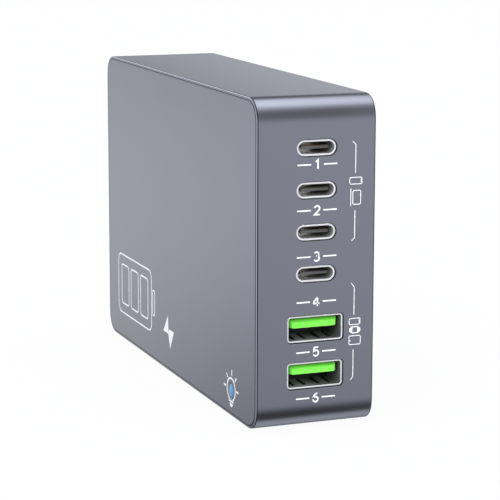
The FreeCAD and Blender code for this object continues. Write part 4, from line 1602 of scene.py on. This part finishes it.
@dataclass
class Prints:
    """White prints on the front and on the left panel.

    A line is the width of a drawn line, and a digit's line is a share of its height. The rule gives
    the distances from a number at which the rules beside it start and end.
    """

    depth: float = 0.014
    mitre_limit: float = 0.35
    corner_steps: int = 5
    arc_points: int = 15
    label_x: float = 0.1
    label_heights: tuple[float, ...] = (59.3, 49.2, 38.9, 28.8, 17.5, 7.0)
    digit_height: float = 1.95
    digit_line: float = 0.17
    rule: Pair = (1.5, 4.7)
    rule_line: float = 0.30
    device_line: float = 0.16
    device_corner: float = 0.35
    buckle_line: float = 0.22
    buckle_corner: float = 0.12
    case_corner: float = 0.3
    globe: Pair = (-38.75, 6.25)
    globe_radius: float = 2.6
    globe_turn: Pair = (-62.0, 242.0)
    globe_points: int = 33
    bulb_line: float = 0.42
    collar_line: float = 0.40
    battery_line: float = 0.36
    battery_corner: float = 2.2
    terminal_corner: float = 0.6
    bar_starts: tuple[float, ...] = (21.4, 29.3, 37.2)
    bar_width: float = 6.0
    bar_ends: Pair = (9.6, 20.0)
    bar_corner: float = 0.9

    def stroke(self, path: Sequence[Pair], width: float, closed: bool = False) -> Surface:
        """Flat line of a width along a path in the print's plane.

        At each point the line's edge is half a width away along the mean of the two normals,
        divided by the cosine of half the turn, so the line keeps its width round corners.

        Args:
            path: Points (a, b) of the line.
            width: Width of the line.
            closed: Whether the line ends where it starts.

        Returns:
            The surface, with the print's thickness along the third coordinate.
        """
        points = np.asarray(path, dtype=float)
        runs = np.roll(points, -1, axis=0) - points
        runs /= np.maximum(np.linalg.norm(runs, axis=1, keepdims=True), TINY)
        before = np.roll(runs, 1, axis=0)
        if not closed:
            runs[-1] = runs[-2]
            before[0] = runs[0]
        normals = np.stack([runs, before])[..., ::-1] * (-1.0, 1.0)
        mean = normals.sum(axis=0)
        mean /= np.linalg.norm(mean, axis=1, keepdims=True)
        cosine = (mean * normals[0]).sum(axis=1, keepdims=True)
        mitre = mean / np.maximum(cosine, self.mitre_limit) * width / 2
        rows = [
            np.column_stack([points + side * mitre, np.full(len(points), level)])
            for side, level in ((1, 0.0), (-1, 0.0), (-1, self.depth), (1, self.depth))
        ]
        sections = np.stack(rows, axis=1)
        if closed:
            return stack(sections, closed=True)
        return Surface.joined(capped(sections))

    def slab(self, corners: Sequence[Pair]) -> Surface:
        """Solid patch with convex corners, as thick as the print.

        Args:
            corners: Corners (a, b) of the patch.

        Returns:
            The surface.
        """
        flat = np.asarray(corners, dtype=float)
        levels = (0.0, self.depth)
        loops = [np.column_stack([flat, np.full(len(flat), level)]) for level in levels]
        return Surface.joined(capped(loops))

    def frame_line(self, low: Pair, high: Pair, radius: float, width: float) -> Surface:
        """Outline of a rounded rectangle.

        Args:
            low: Its low corner.
            high: Its high corner.
            radius: Its corner radius.
            width: Width of the line.

        Returns:
            The surface.
        """
        size = np.subtract(high, low)
        loop = rounded_loop(size[0], size[1], radius, self.corner_steps) + np.add(low, high) / 2
        return self.stroke(loop, width, closed=True)

    def arc(
        self, centre: Pair, size: Pair, start: float, end: float, count: Optional[int] = None
    ) -> np.ndarray:
        """Elliptic arc: the centre plus the half sizes times the cosine and sine of the angle.

        Args:
            centre: Middle of the ellipse.
            size: Its half sizes.
            start: First angle in degrees.
            end: Last angle in degrees.
            count: Number of points, or None for that of a digit's arc.

        Returns:
            Array of points.
        """
        turn = np.radians(np.linspace(start, end, count or self.arc_points))
        return np.column_stack([np.cos(turn), np.sin(turn)]) * size + centre

    def placed(self, parts: Iterable[Surface], face: Face) -> Surface:
        """Join prints and set them on a face, their tops level with the body's side.

        Args:
            parts: Prints in their own plane, with their thickness along the third coordinate.
            face: The face that carries them.

        Returns:
            The surface in the charger's frame.
        """
        surface = Surface.joined(parts)
        a, b, level = surface.points.T
        inward = self.depth - level
        if face is Face.FRONT:
            columns = (a, inward - DEPTH / 2, b)
        else:
            columns = (inward - WIDTH / 2, a, b)
        return Surface(np.column_stack(columns), surface.faces, surface.finish)

    def digit(self, number: int, centre: Pair) -> list[Surface]:
        """Lines of a plain digit from 1 to 6, drawn in a square of side 1 and then enlarged.

        Args:
            number: The digit.
            centre: Its middle in the print's plane.

        Returns:
            A surface for each line.
        """
        upper_three = self.arc((-0.02, 0.26), (0.27, 0.24), 150.0, -80.0)
        lower_three = self.arc((-0.02, -0.22), (0.32, 0.28), 80.0, -150.0)
        bowl_five = self.arc((-0.01, -0.17), (0.32, 0.33), 120.0, -150.0)
        stem_six = self.arc((0.30, -0.2), (0.60, 0.7), 98.0, 176.0)
        bowl_six = self.arc((0.0, -0.2), (0.3, 0.3), 180.0, 540.0)
        bow_two = self.arc((0.0, 0.2), (0.3, 0.3), 170.0, -30.0)
        paths = {
            1: [[(-0.2, 0.28), (0.06, 0.5), (0.06, -0.5)]],
            2: [[*bow_two, (-0.3, -0.5), (0.34, -0.5)]],
            3: [[*upper_three, *lower_three]],
            4: [
                [(0.14, -0.5), (0.14, 0.5)],
                [(0.1, 0.5), (-0.34, -0.1)],
                [(-0.42, -0.2), (0.38, -0.2)],
            ],
            5: [[(0.28, 0.5), (-0.2, 0.5), (-0.26, 0.06), *bowl_five]],
            6: [[*stem_six, *bowl_six]],
        }
        size = self.digit_height
        width = self.digit_line * size
        return [self.stroke(np.array(path) * size + centre, width) for path in paths[number]]

    def labels(self) -> Surface:
        """A plain number under each socket, between two short rules.

        Returns:
            The surface of all of them.
        """
        parts = []
        for number, z in enumerate(self.label_heights, 1):
            parts.extend(self.digit(number, (self.label_x, z)))
            for side in (-1, 1):
                ends = [(self.label_x + side * reach, z) for reach in self.rule]
                parts.append(self.stroke(ends, self.rule_line))
        return self.placed(parts, Face.FRONT)

    def brackets(self) -> Surface:
        """Two brackets on the front, with outlines of the devices that the sockets charge.

        Returns:
            The surface of all lines and patches.
        """
        line, corner = self.device_line, self.device_corner
        parts = [
            self.stroke([(8.43, 63.95), (9.17, 63.25), (9.16, 56.95)], line),
            self.frame_line((7.79, 54.5), (10.74, 55.97), corner, line),
            self.slab([(10.46, 54.8), (10.74, 54.8), (10.74, 55.67), (10.46, 55.67)]),
            self.stroke([(8.09, 49.6), (8.09, 53.55)], line),
            self.frame_line((8.58, 49.97), (10.46, 53.07), corner, line),
            self.stroke([(9.12, 48.68), (9.12, 42.55), (8.42, 41.85)], line),
            self.stroke([(8.49, 32.3), (9.19, 31.4), (9.18, 25.1)], line),
            self.frame_line((8.05, 22.9), (10.72, 24.3), corner, line),
            self.slab([(10.42, 23.2), (10.72, 23.2), (10.72, 24.0), (10.42, 24.0)]),
            self.frame_line((8.74, 20.98), (10.14, 22.38), self.buckle_corner, self.buckle_line),
            self.slab([(8.08, 21.35), (8.62, 20.95), (8.62, 22.40), (8.08, 22.0)]),
            self.slab([(10.26, 20.95), (10.78, 21.35), (10.78, 22.0), (10.26, 22.40)]),
            self.frame_line((8.05, 18.35), (10.80, 20.33), self.case_corner, line),
            self.stroke([(8.05, 19.2), (8.5, 19.2)], line),
            self.stroke([(9.09, 17.2), (9.09, 11.0), (8.47, 10.25)], line),
        ]
        return self.placed(parts, Face.FRONT)

    def lamp_sign(self) -> Surface:
        """Outline of a bulb with rays about the lit window.

        Returns:
            The surface of all lines and the bulb's base.
        """
        size = (self.globe_radius, self.globe_radius)
        globe = self.arc(self.globe, size, *self.globe_turn, self.globe_points)
        rays = (
            [(-35.75, 9.4), (-36.55, 8.5)],
            [(-39.15, 10.85), (-39.15, 9.5)],
            [(-42.1, 9.6), (-41.1, 8.6)],
            [(-34.0, 6.5), (-35.5, 6.35)],
            [(-43.4, 6.4), (-42.0, 6.5)],
        )
        parts = [
            self.stroke([(-37.75, 3.7), *globe, (-39.75, 3.7)], self.bulb_line),
            self.stroke([(-37.3, 3.5), (-40.15, 3.4)], self.collar_line),
            self.slab([(-37.65, 3.0), (-39.85, 2.9), (-39.4, 2.3), (-38.9, 2.05), (-38.2, 2.35)]),
            *(self.stroke(ray, self.bulb_line) for ray in rays),
        ]
        return self.placed(parts, Face.LEFT)

    def charge_sign(self) -> Surface:
        """Outline of a battery with three bars, and a solid bolt beside it.

        Returns:
            The surface of all lines and patches.
        """
        line = self.battery_line
        parts = [
            self.frame_line((18.5, 7.0), (46.0, 22.6), self.battery_corner, line),
            self.frame_line((16.0, 11.6), (17.6, 18.0), self.terminal_corner, line),
        ]
        bottom, top = self.bar_ends
        for start in self.bar_starts:
            high = (start + self.bar_width, top)
            parts.append(self.frame_line((start, bottom), high, self.bar_corner, line))
        parts.append(self.slab([(5.6, 13.9), (9.2, 9.4), (5.4, 9.4)]))
        parts.append(self.slab([(1.2, 10.6), (4.0, 5.9), (5.4, 9.4), (5.0, 10.6)]))
        return self.placed(parts, Face.LEFT)

    def build(self, finishes: Finishes) -> None:
        """Make the prints, each as one piece.

        Args:
            finishes: The charger's finishes.
        """
        ink = finishes.several("print_ink")
        for name, slot, surface in (
            ("socket_numbers", "frame_metal", self.labels()),
            ("device_brackets", "frame_metal", self.brackets()),
            ("lamp_sign", "panel_metal", self.lamp_sign()),
            ("charge_sign", "panel_metal", self.charge_sign()),
        ):
            surface.piece(name, slot, ink)


# Studio
@dataclass
class Room:
    """Brightness of the surroundings by direction.

    The fields are how much light a zone adds, or how much a dark zone takes. Each zone is a product
    of smooth steps along the direction's coordinates, so it starts softly. The band behind on the
    left has what it adds, and what is taken above and below it. The dark zone behind on the right
    has its lower depth, what eases that towards the right, and what is added to it higher up.
    """

    tree: Tree
    walls_low: float = 0.60
    walls_rise: float = 0.31
    ground: float = 0.22
    low_front: float = 0.87
    low_back: float = 0.35
    low_left: float = 0.55
    low_behind: float = 0.60
    strip: float = 0.60
    high_left: float = 1.60
    back_left: Triple = (0.07, 0.42, 0.12)
    flags: float = 0.34
    top: float = 1.42
    top_power: float = 1.45
    overhead: float = 0.72
    high_front: float = 0.62
    behind: Triple = (0.36, 0.15, 0.48)

    def __post_init__(self) -> None:
        """Read the direction's coordinates, the opposite ones, and the band at the right front."""
        way = self.tree.term(self.tree.add("ShaderNodeTexCoord"), "Generated")
        self.right, self.back, self.up = (self.tree.part(way, axis) for axis in "XYZ")
        self.left, self.front, self.down = (0.0 - term for term in (self.right, self.back, self.up))
        self.right_front = self.right.step(-0.05, 0.22) * (1.0 - self.right.step(0.46, 0.66))

    def near(self, direction: Triple, outer: float, inner: float) -> Term:
        """Share from 0 to 1 of directions about one, by the cosine of the angle to it."""
        a, b, c = direction
        return (a * self.right + b * self.back + c * self.up).step(outer, inner)

    def dimmed_walls(self) -> Term:
        """Pale walls that darken downwards, with four dark zones low in front and behind.

        Returns:
            Their brightness.
        """
        up, down, back = self.up, self.down, self.back
        walls = self.walls_low + self.walls_rise * up.step(-0.42, -0.12)
        walls = walls + self.ground * down.step(0.68, 0.90)
        front = down.step(0.20, 0.54) * self.front.step(0.14, 0.52) * self.right_front
        rear = back.step(0.20, 0.60) * down.step(0.30, 0.70)
        left = back.step(0.50, 0.80) * self.left.step(0.26, 0.36) * down.step(0.18, 0.31)
        behind = back.step(0.60, 0.85) * down.step(0.26, 0.38) * self.right.step(-0.25, -0.05)
        walls = walls * (1.0 - self.low_front * front) * (1.0 - self.low_back * rear)
        return walls * (1.0 - self.low_left * left) * (1.0 - self.low_behind * behind)

    def left_lights(self) -> Term:
        """A bright strip at the left, and behind on the left a bright zone high up and a faint band.

        Returns:
            The light that they add, less what is taken above and below the band.
        """
        strip = self.near((-0.97, 0.10, -0.19), 0.82, 0.95) * (1.0 - self.up.step(-0.04, 0.12))
        high = self.back.step(0.60, 0.85) * self.left.step(0.0, 0.16) * self.up.step(0.12, 0.28)
        added, above, below = self.back_left
        change = added - above * self.up.step(-0.17, -0.01) - below * self.down.step(0.17, 0.30)
        corner = self.back.step(0.50, 0.80) * self.left.step(0.15, 0.30)
        return self.strip * strip + self.high_left * high + corner * change

    def dark_flags(self) -> Term:
        """Dark flags at the front left and at the right."""
        side = self.right.step(0.54, 0.72) * self.front.step(-0.10, 0.25)
        return self.near((-0.52, -0.832, -0.19), 0.72, 0.90) + side

    def ceiling(self) -> Term:
        """A bright panel above that is dimmer straight overhead and at the left of it.

        Returns:
            The light that it adds.
        """
        overhead = self.up.step(0.90, 0.97) * (1.0 - self.right.step(0.04, 0.20))
        panel = self.up.step(0.47, 1.05) ** self.top_power
        return self.top * (panel * (1.0 - self.overhead * overhead))

    def gloom(self) -> Term:
        """Dark zones high in front and behind on the right, the latter in two steps upwards.

        Returns:
            The light that they take.
        """
        front = self.front.step(0.15, 0.55) * self.up.step(-0.12, 0.22) * self.right_front
        rear = self.back.step(0.38, 0.75) * self.right.step(0.02, 0.22)
        lower, eased, upper = self.behind
        depth = (lower - eased * self.right.step(0.24, 0.40)) * self.up.step(-0.05, 0.08)
        return self.high_front * front + rear * (depth + upper * self.up.step(0.21, 0.33))

    def level(self) -> Term:
        """Strength of the background: walls and lights under the flags, the ceiling, the gloom."""
        lit = (self.dimmed_walls() + self.left_lights()) * (1.0 - self.flags * self.dark_flags())
        return lit + self.ceiling() - self.gloom()


@dataclass(frozen=True)
class Lamp:
    """A soft square lamp that isn't mirrored in the metal, in metres and watts."""

    name: str
    place: Triple
    size: float
    power: float
    aim: Triple = (0.0, 0.0, 0.04)

    def build(self) -> None:
        """Hang the lamp, turned towards the point that it aims at."""
        data = bpy.data.lights.new(self.name, "AREA")
        data.shape = "SQUARE"
        data.size = self.size
        data.energy = self.power
        lamp = bpy.data.objects.new(self.name, data)
        lamp.visible_glossy = False
        lamp.location = self.place
        way = Vector(self.aim) - Vector(self.place)
        lamp.rotation_euler = way.to_track_quat("-Z", "Y").to_euler()
        bpy.context.scene.collection.objects.link(lamp)


@dataclass
class Studio:
    """Floor, lights, surroundings and camera."""

    camera_place: Triple = (-167.598, -448.009, 123.070)
    yaw: float = 21.1227
    pitch: float = 10.9543
    roll: float = -0.1391
    lens: float = 143.202
    sensor: float = 36.0
    clip: Pair = (0.01, 50.0)
    white: Colour = (1.0, 1.0, 1.0)
    daylight: Colour = (0.96, 0.98, 1.03)
    floor_tone: Colour = (0.70, 0.70, 0.70)
    floor_half: float = 6000.0
    floor_depth: float = 20.0
    floor_glow: float = 0.95
    lamps: tuple[Lamp, ...] = (
        Lamp("left_lamp", (-1.0, -0.9, 0.75), 1.0, 11.0),
        Lamp("right_lamp", (0.44, -1.25, 0.115), 0.21, 8.0),
    )

    def camera(self) -> None:
        """Camera at the place and angles worked out from the photograph's edges."""
        data = bpy.data.cameras.new("camera")
        data.lens = self.lens
        data.sensor_width = self.sensor
        data.clip_start, data.clip_end = self.clip
        camera = bpy.data.objects.new("camera", data)
        camera.location = [value * MM for value in self.camera_place]
        yaw = Matrix.Rotation(math.radians(-self.yaw), 3, "Z")
        pitch = Matrix.Rotation(math.radians(90.0 - self.pitch), 3, "X")
        roll = Matrix.Rotation(math.radians(-self.roll), 3, "Z")
        camera.rotation_euler = (yaw @ pitch @ roll).to_euler()
        bpy.context.scene.collection.objects.link(camera)
        bpy.context.scene.camera = camera

    def surroundings(self) -> None:
        """White to the camera, and a soft studio to everything else."""
        world = bpy.data.worlds.new("studio")
        bpy.context.scene.world = world
        tree = Tree(world)
        plain = tree.add("ShaderNodeBackground", Strength=1.0, Color=self.white)
        soft = tree.add("ShaderNodeBackground", Strength=Room(tree).level(), Color=self.daylight)
        tree.show(tree.by_ray(plain, soft), "ShaderNodeOutputWorld")

    def floor(self) -> None:
        """Wide pale floor that looks white to the camera and keeps a soft shadow.

        The metal reflects the pale room in its place, so no edge of the floor shows in it.
        """
        half = self.floor_half
        slab = boxes(np.array([-half, -half, -self.floor_depth]), np.array([half, half, 0.0]))
        mesh = bpy.data.meshes.new("floor")
        mesh.from_pydata((slab.points * MM).tolist(), [], slab.faces.tolist())
        floor = bpy.data.objects.new("floor", mesh)
        floor.visible_glossy = False
        bpy.context.scene.collection.objects.link(floor)
        material = bpy.data.materials.new("pale_floor")
        tree = Tree(material)
        pale = tree.add("ShaderNodeBsdfDiffuse", Color=self.floor_tone)
        glow = tree.add("ShaderNodeEmission", Color=self.white, Strength=1.0)
        tree.show(tree.by_ray(glow, pale, self.floor_glow))
        mesh.materials.append(material)

    def build(self) -> None:
        """Set up the whole studio."""
        self.camera()
        self.surroundings()
        self.floor()
        for lamp in self.lamps:
            lamp.build()
        bpy.context.scene.view_settings.view_transform = "Standard"


def dress_solids(frame: dict, finishes: Finishes) -> None:
    """Give every solid that stays the finish of its slot.

    Args:
        frame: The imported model, as it was loaded.
        finishes: The charger's finishes.
    """
    slots = {row["node"]: row["material_slot"] for row in frame["record"]["subparts"]}
    for node, solid in frame["nodes"].items():
        material = finishes.get(slots[node])
        if not solid.material_slots:
            solid.data.materials.append(material)
        for place in solid.material_slots:
            place.material = material
        LOG.info("solid %s: %s", node, slots[node])


def main() -> None:
    """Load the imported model, dress it and set the studio."""
    logging.basicConfig(level=logging.INFO, format="%(name)s %(message)s")
    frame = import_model()
    finishes = Finishes()
    dress_solids(frame, finishes)
    for part in (Housing(), OvalSockets(), WideSockets(), Inlet(), LightWindow(), Prints()):
        part.build(finishes)
    Studio().build()


if __name__ == "__main__":
    main()
